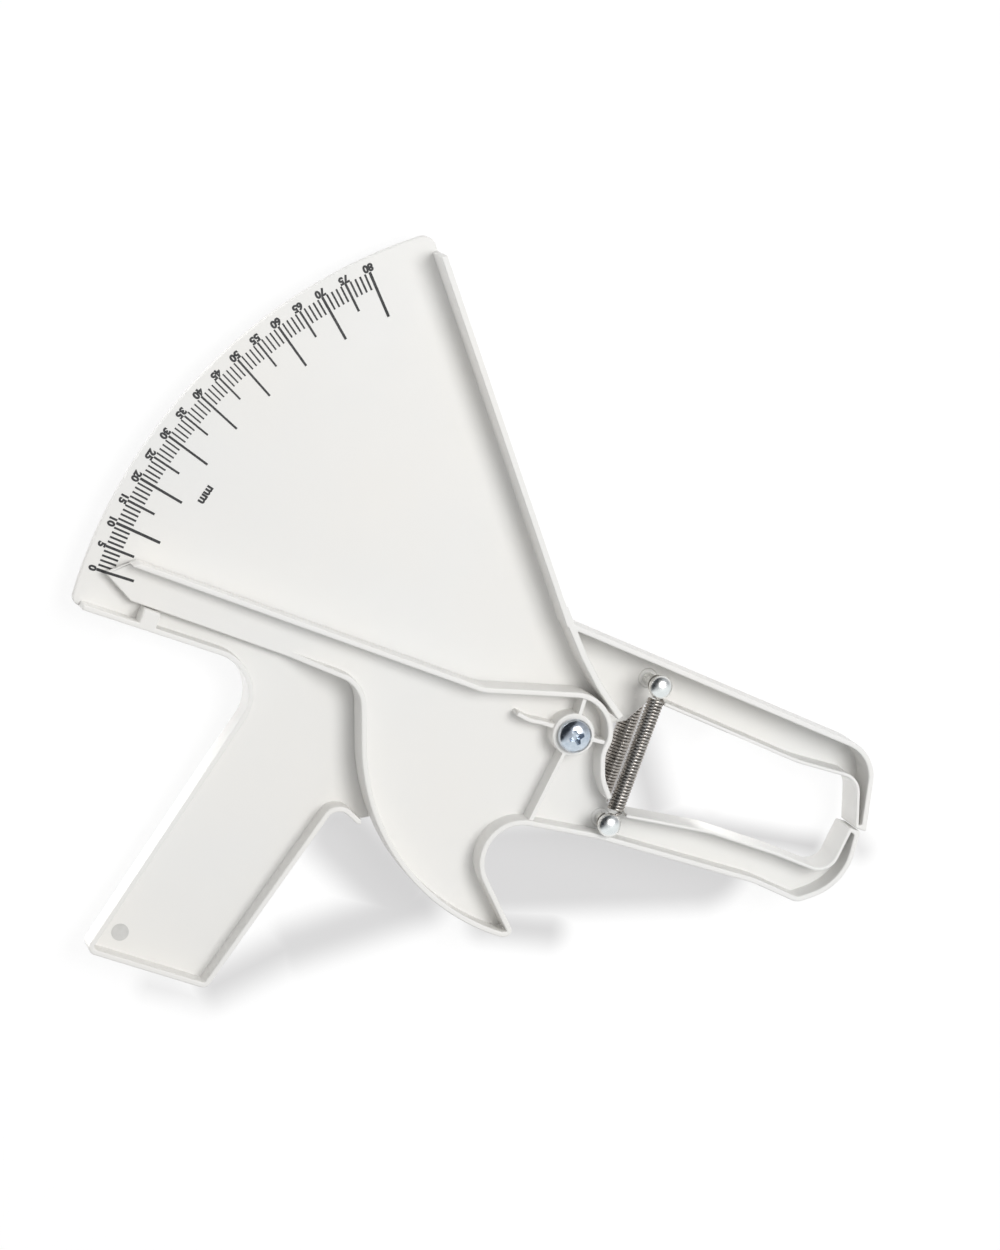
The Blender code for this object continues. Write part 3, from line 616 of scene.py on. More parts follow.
lip_middle, lip_dip = reach(0.444, -0.3285), reach(0.659, -0.411)
run = (lower_post - upper_post).normalized()
spring_side = upper_post + Vector((-run.y, run.x)) * 0.005
lip_end = crossing(lip_middle, bearing(lip_middle, lip_dip) + 7.0,
                   spring_side, bearing(upper_post, lower_post))
lower_lip = filleted([(low_contact_in, 0), (reach(0.827, -0.487), 0.006), (lip_dip, 0.03),
                      (lip_middle, 0.03), (lip_end, 0)])
print("lower lip ends at", [round(v * 1000, 1) for v in lip_end])

# %% [markdown]
# ## Hub, arm and pointer
# The rim round the hub is an arc that passes beside the rear spring, and the arm's rib leaves it
# in a straight line. The arm ends in a slanted point, which reads the scale like a watch hand. The
# point's tip lies on the marks' circle, so the reading is taken where the marks end.

# %% Hub, arm and pointer
HUB_LINE = 0.0103
POINTER_REACH = 0.1593
ring_middle = Vector((-0.0005, 0.0007))
ring_radius = 0.0134
notch_top = Vector((0.0127, -0.0212))
notch_foot = Vector((0.0134, lip_end.y + RIM))
hub_top = ring_middle + polar(ring_radius, 84.0)
arm_top_line = beside(ARM_ANGLE, 0.0, -0.0049)
arm_bend = crossing(hub_top, 174.0, arm_top_line, ARM_ANGLE)
pointer_tip = polar(POINTER_REACH, 158.65)
pointer_up = beside(ARM_ANGLE, POINTER_REACH - 0.0085, -0.0049)
pointer_low = beside(ARM_ANGLE, POINTER_REACH - 0.0108, 0.0078)
hub_path = filleted([
    (notch_top, 0), (Vector((HUB_LINE, -0.0150)), 0.012), (Vector((HUB_LINE, -0.0070)), 0.008),
    (ring_middle + polar(ring_radius, -16.0), 0)])
hub_path += arc(ring_middle, ring_radius, -16.0, 84.0, 4.0)[1:]
hub_path += filleted([(hub_top, 0), (arm_bend, 0.008), (pointer_up, 0)])[1:]
point_slant = (pointer_tip - pointer_up).normalized()
arm_side = polar(1.0, ARM_ANGLE + 90.0)
rib_point = [pointer_up, pointer_up + arm_side * RIM,
             pointer_up + point_slant * (RIM / point_slant.dot(arm_side))]
lever_outline = (blade_path + hook_path[1:] + belly[1:] + lower_lip + [notch_foot]
                 + hub_path + [pointer_tip, pointer_low])
print("lever outline of", len(lever_outline), "points, pointer tip at",
      [round(v * 1000, 1) for v in pointer_tip])

# %% [markdown]
# ## The lever in one piece
# The lever's web floats above the frame's, and its rims reach up to the frame's height. The lower
# jaw's lip reaches down behind as well, because there is no frame behind it. Thin ribs tie the
# screw's boss to the rim. Two tops aren't level: the arm's rib falls towards the pointer, and the
# trigger's wall runs out in a ramp, so those corners are moved after the skin is closed.

# %% Heights and ribs of the lever
LEVER_LOW, LEVER_WEB_LOW, LEVER_WEB_TOP = 0.003, 0.004, 0.0065
BOSS_TOP = 0.014
BOSS_INSIDE = 0.006
RIB = 0.0013
RIB_FALL = 0.003
jaw_path = belly[1:] + lower_lip
long_end = finger_arc[-1] + polar(0.0009, 90.0)
stub_path = filleted([(Vector((-0.0058, 0.0036)), 0), (Vector((-0.0100, 0.0050)), 0.010),
                      (Vector((-0.0140, 0.0060)), 0.010), (Vector((-0.0178, 0.0083)), 0)])


def spoke_rib(angle, start, end):
    """A thin rib that leaves the screw's boss at an angle."""
    return bar(polar(start, angle), polar(end, angle), RIB)


def arm_height(point):
    """The arm's rib falls by 3 mm towards the pointer, and the blade's wall runs out in a ramp."""
    spot = Vector(point.xy)
    along = (spot - arm_bend).dot(polar(1.0, ARM_ANGLE))
    if (spot - arm_foot).length < RIM * 1.2 and point.z > LEVER_WEB_TOP + 0.0001:
        return LEVER_WEB_TOP
    if along > 0 and point.z > FULL_DEPTH - 0.0001:
        return point.z - RIB_FALL * along / (pointer_up - arm_bend).length
    return point.z


print("the long rib ends at", [round(v * 1000, 1) for v in long_end])

# %% Lever moulding
lever_moulding = moulding("lever_moulding", [
    (lever_outline, LEVER_WEB_LOW, LEVER_WEB_TOP),
    (wall(blade_path + hook_path[1:] + jaw_path, RIM, LIP, low_contact_in), LEVER_LOW, FULL_DEPTH),
    (wall(finger_arc + jaw_path, RIM, LIP, low_contact_in), 0.0, FULL_DEPTH),
    (wall(hub_path, RIM), LEVER_LOW, FULL_DEPTH),
    (disc(HERE, 0.007, 64), LEVER_LOW, BOSS_TOP),
    (spoke_rib(72.0, BOSS_INSIDE, HUB_RADIUS - 0.0009), LEVER_WEB_LOW, BOSS_TOP),
    (spoke_rib(-17.0, BOSS_INSIDE, HUB_RADIUS - 0.0018), LEVER_WEB_LOW, BOSS_TOP),
    (wall(stub_path, 0.0015), LEVER_WEB_LOW, BOSS_TOP - 0.001),
    (rib_point, LEVER_LOW, FULL_DEPTH),
    (bar(polar(BOSS_INSIDE, bearing(HERE, long_end)), long_end, RIB), LEVER_WEB_LOW, BOSS_TOP),
    (disc(lower_post, PIN_BOSS), LEVER_WEB_LOW, LEVER_WEB_TOP + BOSS_RISE),
], [disc(HERE, 0.0038)], arm_height)
break_edges(lever_moulding)
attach(lever_moulding, LEVER_BODY)
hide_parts("lever")

# %% [markdown]
# ## Turned pieces
# The screw, the pins and their caps come off a lathe or a heading machine, so each is a profile
# spun about its axis. A fine spin and a short list of profile points give a truer dome than a
# squashed ball would.

# %% Lathe helper
SMOOTH_BELOW = radians(38.0)


def lathe(name, centre, profile, sides=64):
    """A profile of radius and height, spun about an upright axis."""
    bm = bmesh.new()
    ring = [bm.verts.new((r, 0.0, z)) for r, z in profile]
    edges = [bm.edges.new((ring[i], ring[i + 1])) for i in range(len(ring) - 1)]
    bmesh.ops.spin(bm, geom=ring + edges, cent=(0, 0, 0), axis=(0, 0, 1), angle=2 * pi,
                   steps=sides, use_merge=True, use_duplicate=False)
    bmesh.ops.remove_doubles(bm, verts=bm.verts, dist=1e-7)
    bmesh.ops.recalc_face_normals(bm, faces=bm.faces)
    mesh = mesh_from(name, bm)
    mesh.shade_smooth()
    mesh.set_sharp_from_angle(angle=SMOOTH_BELOW)
    return added(name, mesh, ON_FRAME + centre.to_3d())


def dressed_as(piece, body, node):
    """Rides the piece on a body and hides its solid."""
    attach(piece, body)
    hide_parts(node)
    return piece


def dome(radius, height, start=0.30, steps=9):
    """Points of a domed head's edge, from its rim to its crown."""
    points = [(radius, height * start)]
    for i in range(1, steps + 1):
        turn = radians(90.0 * i / steps)
        points.append((radius * cos(turn), height * (start + (1 - start) * sin(turn))))
    points[-1] = (0.0, height)
    return points


print("a dome is turned from", len(dome(1.0, 1.0)), "points")


# %% [markdown]
# ## The pivot screw
# The pan head is a flat dome on a short straight edge. Its cross recess is what makes it read as a
# screw: a driver's tip is a tapered cross with a cone at its middle, so that shape is cut out of
# the head once with a boolean, which is safe here because the two shapes cross cleanly.

# %% Pivot screw
SHANK = 0.0025
HEAD_RADIUS = 0.0055
HEAD_LOW = 0.0146
HEAD_HEIGHT = 0.0036
pivot_screw = lathe("pivot_screw_detail", HERE, [
    (0.0, -0.0071), (SHANK - 0.0004, -0.0071), (SHANK, -0.0067), (SHANK, HEAD_LOW),
    (HEAD_RADIUS - 0.0003, HEAD_LOW), (HEAD_RADIUS, HEAD_LOW + 0.0003),
] + [(r, HEAD_LOW + z) for r, z in dome(HEAD_RADIUS, HEAD_HEIGHT, 0.24, 12)], 96)
print("pivot screw", len(pivot_screw.data.polygons), "faces before its recess is cut")


# %% Cross recess
def cross_cutter():
    """A tapered cross with a cone at its middle, the shape of the driver's tip."""
    bm = bmesh.new()
    top, floor = HEAD_LOW + HEAD_HEIGHT + 0.0006, HEAD_LOW + HEAD_HEIGHT - 0.0026
    half_top, half_floor, wide_top, wide_floor = 0.0030, 0.0012, 0.00062, 0.00040
    ring_top, ring_floor = [], []
    for quarter in range(4):
        base = 17.0 + 90.0 * quarter
        for ring, length, width, z in ((ring_top, half_top, wide_top, top),
                                       (ring_floor, half_floor, wide_floor, floor)):
            inner = width * 1.55
            ring += [bm.verts.new((*beside(base, length, -width), z)),
                     bm.verts.new((*beside(base, length, width), z)),
                     bm.verts.new((*polar(inner * 1.41421, base + 45.0), z))]
    bm.faces.new(ring_top)
    bm.faces.new(list(reversed(ring_floor)))
    count = len(ring_top)
    for i in range(count):
        j = (i + 1) % count
        bm.faces.new((ring_floor[i], ring_floor[j], ring_top[j], ring_top[i]))
    bmesh.ops.recalc_face_normals(bm, faces=bm.faces)
    return added("cross_recess", mesh_from("cross_recess", bm), pivot_screw.location)


cutter = cross_cutter()
recess = pivot_screw.modifiers.new("recess", "BOOLEAN")
recess.object = cutter
recess.operation = "DIFFERENCE"
recess.solver = "EXACT"
pivot_screw.data = applied(pivot_screw)
bpy.data.objects.remove(cutter, do_unlink=True)
pivot_screw.data.shade_smooth()
pivot_screw.data.set_sharp_from_angle(angle=SMOOTH_BELOW)
dressed_as(pivot_screw, FRAME_BODY, "pivot_screw")
print("pivot screw", len(pivot_screw.data.polygons), "faces")

# %% [markdown]
# ## Spring pins
# Each spring is held by a nickel pin with a nearly round head. A collar under the head keeps the
# wire from slipping off. Behind the mouldings a pushed-on cap holds the pin and the rear spring.
# The pins and caps are the same shape twice, so one function each makes both.

# %% Spring pins and their caps
PIN = 0.002
PIN_HEAD = 0.00385


def headed_pin(name, centre, body, node):
    """A pin with a collar and a domed head in front."""
    pin = lathe(name, centre, [
        (0.0, -0.0070), (PIN - 0.0002, -0.0070), (PIN, -0.0068), (PIN, 0.0142),
        (PIN + 0.0008, 0.0144), (PIN_HEAD - 0.0008, 0.0148), (PIN_HEAD - 0.0005, 0.0151),
        (PIN_HEAD - 0.0004, 0.0164), (PIN_HEAD, 0.0167),
    ] + [(r, 0.0163 + z) for r, z in dome(PIN_HEAD, 0.0032, 0.24, 10)], 56)
    return dressed_as(pin, body, node)


def push_cap(name, centre, body, node):
    """A domed cap on the pin's end behind."""
    cap = lathe(name, centre, [
        (0.0, -0.0073), (0.0023, -0.0073), (0.0023, -0.0055), (PIN_HEAD - 0.0003, -0.0055),
        (PIN_HEAD, -0.0058),
    ] + [(r, -0.0055 - z) for r, z in dome(PIN_HEAD, 0.0034, 0.24, 10)], 56)
    return dressed_as(cap, body, node)


upper_pin = headed_pin("upper_pin_detail", upper_post, FRAME_BODY,
                       "upper_pin")
lower_pin = headed_pin("lower_pin_detail", lower_post, LEVER_BODY,
                       "lower_pin")
upper_cap = push_cap("upper_cap_detail", upper_post, FRAME_BODY,
                     "upper_pin_cap")
lower_cap = push_cap("lower_cap_detail", lower_post, LEVER_BODY,
                     "lower_pin_cap")
print("pins stand", round((upper_post - lower_post).length * 1000, 1), "mm apart")

# %% [markdown]
# ## The back of the pivot
# Behind the frame the screw carries a washer and a lock nut. A nut is a hexagon whose corners are
# turned away at 30 degrees, with a nylon ring pressed into its end. The hexagon is a short prism
# whose ends are drawn in, which gives the same curved bevels when its edges are broken.

# %% Washer and lock nut
WASHER_TOP, WASHER_LOW = -0.0003, -0.0013
washer = lathe("washer_detail", HERE, [
    (0.0028, WASHER_LOW), (0.0047, WASHER_LOW), (0.0050, WASHER_LOW + 0.0002),
    (0.0050, WASHER_TOP - 0.0002), (0.0047, WASHER_TOP), (0.0028, WASHER_TOP),
    (0.0028, WASHER_LOW)], 64)
NUT_TOP, NUT_LOW = -0.0016, -0.0061
nut_profile = [(0.0028, NUT_TOP), (0.0039, NUT_TOP), (0.0047, NUT_TOP - 0.0005),
               (0.0047, NUT_LOW + 0.0014), (0.0038, NUT_LOW + 0.0009), (0.0036, NUT_LOW + 0.0002),
               (0.0033, NUT_LOW), (0.0028, NUT_LOW), (0.0028, NUT_TOP)]
lock_nut = lathe("lock_nut_detail", HERE, nut_profile, 72)
for vertex in lock_nut.data.vertices:
    spoke = Vector(vertex.co.xy)
    turn = degrees(atan2(spoke.y, spoke.x)) % 60.0 - 30.0
    flat_edge = 0.0040 / cos(radians(turn))
    if spoke.length > flat_edge:
        vertex.co.xy = spoke.normalized() * flat_edge
lock_nut.data.set_sharp_from_angle(angle=radians(24.0))
dressed_as(washer, FRAME_BODY, "back_washer")
dressed_as(lock_nut, FRAME_BODY, "lock_nut")
print("nut and washer", round((WASHER_TOP - NUT_LOW) * 1000, 1), "mm high behind the frame")

# %% [markdown]
# ## Extension springs
# Each spring is one wire: a hook round the upper pin, a close coil, and a hook round the lower pin.
# A curve with a bevel would do, but here the wire is a mesh tube. The wire's centre line is
# worked out first, and a ring of points is carried along it with as little twist as possible.

# %% Wire helpers
WIRE = 0.00098
FRONT_COIL, REAR_COIL = 0.00226, 0.00290
COIL_PITCH = 0.00106
POINTS_PER_CURL = 18
print("each curl takes", round(2 * pi * FRONT_COIL * 1000, 1), "mm of wire")


def wire_tube(name, line, radius, sides=10):
    """A round wire along a line of points, with flat ends."""
    bm = bmesh.new()
    last = len(line) - 1
    tangents = [(line[min(i + 1, last)] - line[max(i - 1, 0)]).normalized()
                for i in range(len(line))]
    side = tangents[0].orthogonal().normalized()
    rings = []
    for point, tangent in zip(line, tangents):
        side = (side - tangent * side.dot(tangent)).normalized()
        other = tangent.cross(side)
        turns = [2 * pi * k / sides for k in range(sides)]
        rings.append([bm.verts.new(point + side * (radius * cos(turn))
                                   + other * (radius * sin(turn))) for turn in turns])
    for a, b in zip(rings, rings[1:]):
        for k in range(sides):
            n = (k + 1) % sides
            bm.faces.new((a[k], a[n], b[n], b[k]))
    bm.faces.new(list(reversed(rings[0])))
    bm.faces.new(rings[-1])
    bmesh.ops.recalc_face_normals(bm, faces=bm.faces)
    mesh = mesh_from(name, bm)
    mesh.shade_smooth()
    return added(name, mesh)


# %% Centre line of a spring
HOOK_ROOM = 0.0042
HOOK_START, HOOK_TURN = -48.0, 282.0


def spring_line(height, offset, coil_radius):
    """Hook, close coil and hook, along the line from the upper to the lower pin."""
    span = (lower_post - upper_post).length
    down = (lower_post - upper_post).normalized()
    right = Vector((-down.y, down.x))
    loop = PIN + 0.0003 + WIRE / 2
    curls = int((span - 2 * HOOK_ROOM) / COIL_PITCH)
    coil_start = (span - curls * COIL_PITCH) / 2

    def place(along, across, rise):
        plan = upper_post + down * along + right * across + PIVOT
        return Vector((plan.x, plan.y, BACK + height + rise))

    def hook(base, flip):
        spots = [polar(loop, HOOK_START) + polar(WIRE, HOOK_START + 90.0)]
        spots += [polar(loop, HOOK_START - i * HOOK_TURN / 30) for i in range(31)]
        return [place(base + flip * spot.x, spot.y, 0.0) for spot in spots]

    line = hook(0.0, 1.0)
    for i in range(curls * POINTS_PER_CURL + 1):
        turn = 2 * pi * i / POINTS_PER_CURL
        line.append(place(coil_start + COIL_PITCH * i / POINTS_PER_CURL,
                          offset + coil_radius * cos(turn), coil_radius * sin(turn)))
    return line + list(reversed(hook(span, -1.0)))


print("a spring's line has", len(spring_line(0.0, 0.0, FRONT_COIL)), "points")


# %% [markdown]
# ## Front and rear spring
# One spring lies in front of the mouldings and a wider one behind them, and in the gap between hub
# and jaw both show side by side.

# %% Front and rear spring
def extension_spring(name, height, offset, coil_radius, node):
    """A spring of wire between the frame's pin and the lever's."""
    spring = wire_tube(name, spring_line(height, offset, coil_radius), WIRE / 2)
    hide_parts(node)
    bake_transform(spring)
    print(name, len(spring.data.vertices), "points")
    return spring


front_spring = extension_spring("front_spring_wire", 0.0136, 0.0013, FRONT_COIL,
                                "front_spring")
rear_spring = extension_spring("rear_spring_wire", -0.0038, 0.0008, REAR_COIL,
                               "rear_spring")

# %% [markdown]
# ## The printed scale
# The scale reads the jaw opening. With the jaws at reach R from the screw, an opening of v turns
# the lever by twice the arcsine of v over 2R, so the marks close up very slightly towards 80. They
# are printed ink, which is a thin skin on the plate. Thin raised shapes print sharper at any
# distance than a texture, and they can be computed from the same law.

# %% Angles of the scale
INK_THICKNESS = 0.00005
INK_LOW = WEB + 0.00001
MARK_OUTER = 0.1614
ZERO_ANGLE = 158.75
TWICE_REACH = 0.206
MARK_SIZES = {10: (0.0153, 0.00080), 5: (0.0096, 0.00070), 1: (0.0054, 0.00056)}


def scale_angle(value):
    """The angle at which the pointer stands when the jaws are open by a value."""
    share = value / TWICE_REACH
    return ZERO_ANGLE - 2 * degrees(atan2(share, sqrt(1 - share ** 2)))


print("scale from", round(scale_angle(0), 2), "to", round(scale_angle(0.08), 2), "degrees")


# %% Pieces of ink
def ink_plate(bm, outline, low):
    """One printed shape as thin as ink."""
    foot = [bm.verts.new((p.x, p.y, low)) for p in outline]
    head = [bm.verts.new((p.x, p.y, low + INK_THICKNESS)) for p in outline]
    bm.faces.new(head)
    bm.faces.new(list(reversed(foot)))
    for i in range(len(outline)):
        j = (i + 1) % len(outline)
        bm.faces.new((foot[i], foot[j], head[j], head[i]))


def ink_piece(name, outlines, low, body):
    """One piece made of many printed shapes."""
    bm = bmesh.new()
    for outline in outlines:
        ink_plate(bm, outline, low)
    bmesh.ops.recalc_face_normals(bm, faces=bm.faces)
    piece = added(name, mesh_from(name, bm), ON_FRAME)
    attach(piece, body)
    return piece


# %% Marks and the pointer's line
marks = []
for value in range(81):
    length, width = next(size for step, size in MARK_SIZES.items() if value % step == 0)
    width *= 1.0 + 0.16 * cos(2 * pi * value / 88.0)
    angle = scale_angle(value / 1000.0)
    marks.append(bar(polar(MARK_OUTER, angle), polar(MARK_OUTER - length, angle), width))
scale_marks = ink_piece("scale_marks", marks, INK_LOW, FRAME_BODY)
pointer_stroke = bar(polar(0.1594, 158.58), polar(0.1499, 158.50), 0.00085)
pointer_line = ink_piece("pointer_line", [pointer_stroke], LEVER_WEB_TOP + 0.00001, LEVER_BODY)
print(len(marks), "marks and the pointer's line")

# %% [markdown]
# ## Figures
# The figures stand outside the marks with their feet to the screw. Blender's own text curves draw
# them: an extrusion as thin as the ink turns each into a mesh, and a small offset makes the
# strokes as bold as printed ones. All figures are joined into one piece, as one printing is.

# %% Printed characters
FIGURE_SIZE, FIGURE_RADIUS, FIGURE_BOLD = 0.0033, 0.1629, 0.00019


def ink_text(name, words, size, centre, turn, bold):
    """A mesh of printed characters."""
    letters = bpy.data.curves.new(name, "FONT")
    letters.body = words
    letters.size = size
    letters.align_x = "CENTER"
    letters.align_y = "CENTER"
    letters.offset = bold
    letters.extrude = INK_THICKNESS / 2
    letters.resolution_u = 4
    holder = added(name + "_outline", letters)
    bpy.context.view_layer.update()
    whole = holder.evaluated_get(bpy.context.evaluated_depsgraph_get())
    mesh = bpy.data.meshes.new_from_object(whole)
    bpy.data.objects.remove(holder, do_unlink=True)
    place = Matrix.Translation((centre.x, centre.y, INK_LOW + INK_THICKNESS / 2))
    mesh.transform(place @ Matrix.Rotation(radians(turn), 4, "Z"))
    return mesh


def join_meshes(name, meshes):
    """One piece made of many meshes, on the frame."""
    bm = bmesh.new()
    for mesh in meshes:
        bm.from_mesh(mesh)
        bpy.data.meshes.remove(mesh)
    piece = added(name, mesh_from(name, bm), ON_FRAME)
    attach(piece, FRAME_BODY)
    return piece


# %% Figures and unit
figures = []
for value in range(0, 81, 5):
    angle = scale_angle(value / 1000.0)
    figures.append(ink_text("figure_" + str(value), str(value), FIGURE_SIZE,
                            polar(FIGURE_RADIUS, angle), angle + 90.0, FIGURE_BOLD))
scale_figures = join_meshes("scale_figures", figures)
UNIT_SIZE, UNIT_BOLD = 0.0040, 0.00018
unit_place = polar(0.1408, 145.2)
unit = ink_text("unit", "mm", UNIT_SIZE, unit_place, bearing(HERE, unit_place) + 90.0, UNIT_BOLD)
unit_mark = join_meshes("unit_mark", [unit])
print(len(figures), "figures,", len(scale_figures.data.polygons), "faces")

# %% [markdown]
# ## White moulded plastic
# The mouldings are an off-white styrene with a fine satin grain. Up close such a surface isn't one
# colour: flow and sinking leave faint clouds, and spark-eroded mould faces leave a fine even grain.
# A low noise clouds the colour, a second one varies the gloss, and a fine bump gives the grain.

# %% Clouds and ranges
def shader_of(name):
    """A new material, its nodes and its shader."""
    look = bpy.data.materials.new(name)
    look.use_nodes = True
    return look, look.node_tree, look.node_tree.nodes["Principled BSDF"]


def noise(tree, scale, detail=3.0, roughness=0.5):
    """A cloudy value over the object."""
    where = tree.nodes.new("ShaderNodeTexCoord")
    cloud = tree.nodes.new("ShaderNodeTexNoise")
    cloud.inputs["Scale"].default_value = scale
    cloud.inputs["Detail"].default_value = detail
    cloud.inputs["Roughness"].default_value = roughness
    tree.links.new(where.outputs["Object"], cloud.inputs["Vector"])
    return cloud.outputs["Fac"]


def spread(tree, value, low, high, from_low=0.3, from_high=0.7):
    """Stretches a value to a range of its own."""
    ramp = tree.nodes.new("ShaderNodeMapRange")
    ramp.inputs["From Min"].default_value = from_low
    ramp.inputs["From Max"].default_value = from_high
    ramp.inputs["To Min"].default_value = low
    ramp.inputs["To Max"].default_value = high
    tree.links.new(value, ramp.inputs["Value"])
    return ramp.outputs["Result"]


# %% Two tones and grain
def two_tone(tree, value, first, second):
    """A colour between two tones, by a value."""
    mix = tree.nodes.new("ShaderNodeMix")
    mix.data_type = "RGBA"
    tree.links.new(value, mix.inputs["Factor"])
    mix.inputs["A"].default_value = (*first, 1.0)
    mix.inputs["B"].default_value = (*second, 1.0)
    return mix.outputs["Result"]


def grain(tree, shader, value, strength, distance):
    """A value as fine bumps of the surface."""
    bump = tree.nodes.new("ShaderNodeBump")
    bump.inputs["Strength"].default_value = strength
    bump.inputs["Distance"].default_value = distance
    tree.links.new(value, bump.inputs["Height"])
    tree.links.new(bump.outputs["Normal"], shader.inputs["Normal"])


# %% White plastic
def clouded(tree, shader, scale, dark, light):
    """A base colour that drifts between two tones."""
    tree.links.new(two_tone(tree, spread(tree, noise(tree, scale), 0.0, 1.0), dark, light),
                   shader.inputs["Base Color"])


def worn(tree, shader, scale, smooth, rough):
    """A roughness that drifts between two values."""
    tree.links.new(spread(tree, noise(tree, scale), smooth, rough), shader.inputs["Roughness"])


def white_plastic(name, warm, cool):
    """Off-white plastic with faint clouds and a satin grain."""
    look, tree, shader = shader_of(name)
    clouded(tree, shader, 18.0, warm, cool)
    worn(tree, shader, 60.0, 0.40, 0.50)
    shader.inputs["IOR"].default_value = 1.52
    shader.inputs["Specular IOR Level"].default_value = 0.42
    grain(tree, shader, noise(tree, 2600.0, 2.0), 0.10, 0.00012)
    return look


WARM_WHITE = (0.855, 0.842, 0.815)
COOL_WHITE = (0.838, 0.836, 0.822)
frame_white = white_plastic("frame_white", WARM_WHITE, COOL_WHITE)
lever_white = white_plastic("lever_white", WARM_WHITE, COOL_WHITE)
frame_moulding.data.materials.append(frame_white)
lever_moulding.data.materials.append(lever_white)
print("white plastic on", frame_moulding.name, "and", lever_moulding.name)

# %% [markdown]
# ## Ink
# Printing ink is almost black, matt, and never quite even. A fine noise lifts its black a little
# and varies its gloss, so that the marks look printed and not cut out.

# %% Ink
ink, tree, shader = shader_of("scale_ink")
clouded(tree, shader, 900.0, (0.012, 0.012, 0.013), (0.035, 0.035, 0.036))
worn(tree, shader, 500.0, 0.45, 0.62)
printed = (scale_marks, scale_figures, unit_mark, pointer_line)
for piece in printed:
    piece.data.materials.append(ink)
print("ink on", len(printed), "pieces")

# %% [markdown]
# ## Ejector mark
# Near the handle's end the mould's ejector pin left a round mark, a little greyer and smoother
# than the face around it. It is a disc as thin as the ink, with its own duller plastic.

# %% Ejector mark
ejector_mark = ink_piece("ejector_mark", [disc(ejector_spot, 0.0028, 56)], INK_LOW, FRAME_BODY)
mark_plastic, tree, shader = shader_of("ejector_plastic")
clouded(tree, shader, 400.0, (0.60, 0.595, 0.58), (0.66, 0.655, 0.64))
worn(tree, shader, 300.0, 0.30, 0.42)
ejector_mark.data.materials.append(mark_plastic)
print("ejector mark", len(ejector_mark.data.polygons), "faces")

# %% [markdown]
# ## Metals
# The screw and nut are bright zinc with a bluish passivation, the pins are polished nickel, and
# the springs are bare drawn wire that has gone grey-brown. All are metallic, so their look comes
# from roughness and from what they reflect. Turning marks and wire scratches are one fine noise as
# a bump. One function makes every metal from two tones, a range of roughness, the size of its
# noise and the strength of its bump.

# %% Metal looks
def metal(name, tones, roughness, scale, bump):
    """A worn metal between two tones."""
    look, tree, shader = shader_of(name)
    shader.inputs["Metallic"].default_value = 1.0
    clouded(tree, shader, scale, *tones)
    worn(tree, shader, scale * 2.3, *roughness)
    grain(tree, shader, noise(tree, scale * 5.0, 2.0), bump, 0.00008)
    return look


SCREW_TONES = (0.52, 0.57, 0.64), (0.70, 0.74, 0.79)
WASHER_TONES = (0.58, 0.61, 0.66), (0.68, 0.71, 0.76)
NUT_TONES = (0.55, 0.58, 0.63), (0.66, 0.69, 0.74)
PIN_TONES = (0.78, 0.78, 0.76), (0.88, 0.88, 0.86)
CAP_TONES = (0.70, 0.70, 0.68), (0.82, 0.82, 0.80)
WIRE_TONES = (0.32, 0.295, 0.27), (0.52, 0.485, 0.45)
BUSH_TONES = (0.50, 0.50, 0.48), (0.60, 0.60, 0.58)
looks = {
    pivot_screw: metal("screw_zinc_look", SCREW_TONES, (0.14, 0.28), 420.0, 0.16),
    upper_pin: metal("upper_pin_look", PIN_TONES, (0.24, 0.36), 420.0, 0.16),
    lower_pin: metal("lower_pin_look", PIN_TONES, (0.24, 0.36), 420.0, 0.16),
    upper_cap: metal("upper_cap_look", CAP_TONES, (0.14, 0.26), 240.0, 0.10),
    lower_cap: metal("lower_cap_look", CAP_TONES, (0.14, 0.26), 240.0, 0.10),
    washer: metal("washer_look", WASHER_TONES, (0.22, 0.36), 300.0, 0.14),
    lock_nut: metal("lock_nut_look", NUT_TONES, (0.20, 0.34), 300.0, 0.14),
    front_spring: metal("front_spring_look", WIRE_TONES, (0.24, 0.38), 700.0, 0.12),
    rear_spring: metal("rear_spring_look", WIRE_TONES, (0.26, 0.40), 700.0, 0.12),
}
for piece, look in looks.items():
    piece.data.materials.clear()
    piece.data.materials.append(look)
print(len(looks), "metal looks")

# %% [markdown]
# ## Bush
# The bush sits inside the lever's boss, where no camera sees it. Its solid is already right, so it
# keeps that shape and only gets the look of its dull sintered metal.

# %% Bush
bush_look = metal("bush_look", BUSH_TONES, (0.28, 0.40), 400.0, 0.14)
bush_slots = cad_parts["pivot_bush"].material_slots
for place in bush_slots:
    place.material = bush_look
print("bush look in", len(bush_slots), "slot")

# %% [markdown]
# ## Floor
# The picture's ground is pure white with a soft grey shadow below the tool. A large pale floor
# carries it. Its own lamps' shadows are too thin under the jaws and the handle, where the photo
# has a broad grey, so that grey is painted on the floor as a few soft strokes. A stroke is a line
# with a radius, a soft rim and a strength, and its shade is a distance to that line, worked out in
# the material with vector math. That needs no picture, and each stroke can be moved by two points.

# %% Floor and its strokes
floor_mesh = bpy.data.meshes.new("pale_floor")
far = 4.0
floor_mesh.from_pydata([(-far, -far, 0.0), (far, -far, 0.0), (far, far, 0.0), (-far, far, 0.0)],
                       [], [(0, 1, 2, 3)])
floor = added("pale_floor", floor_mesh)
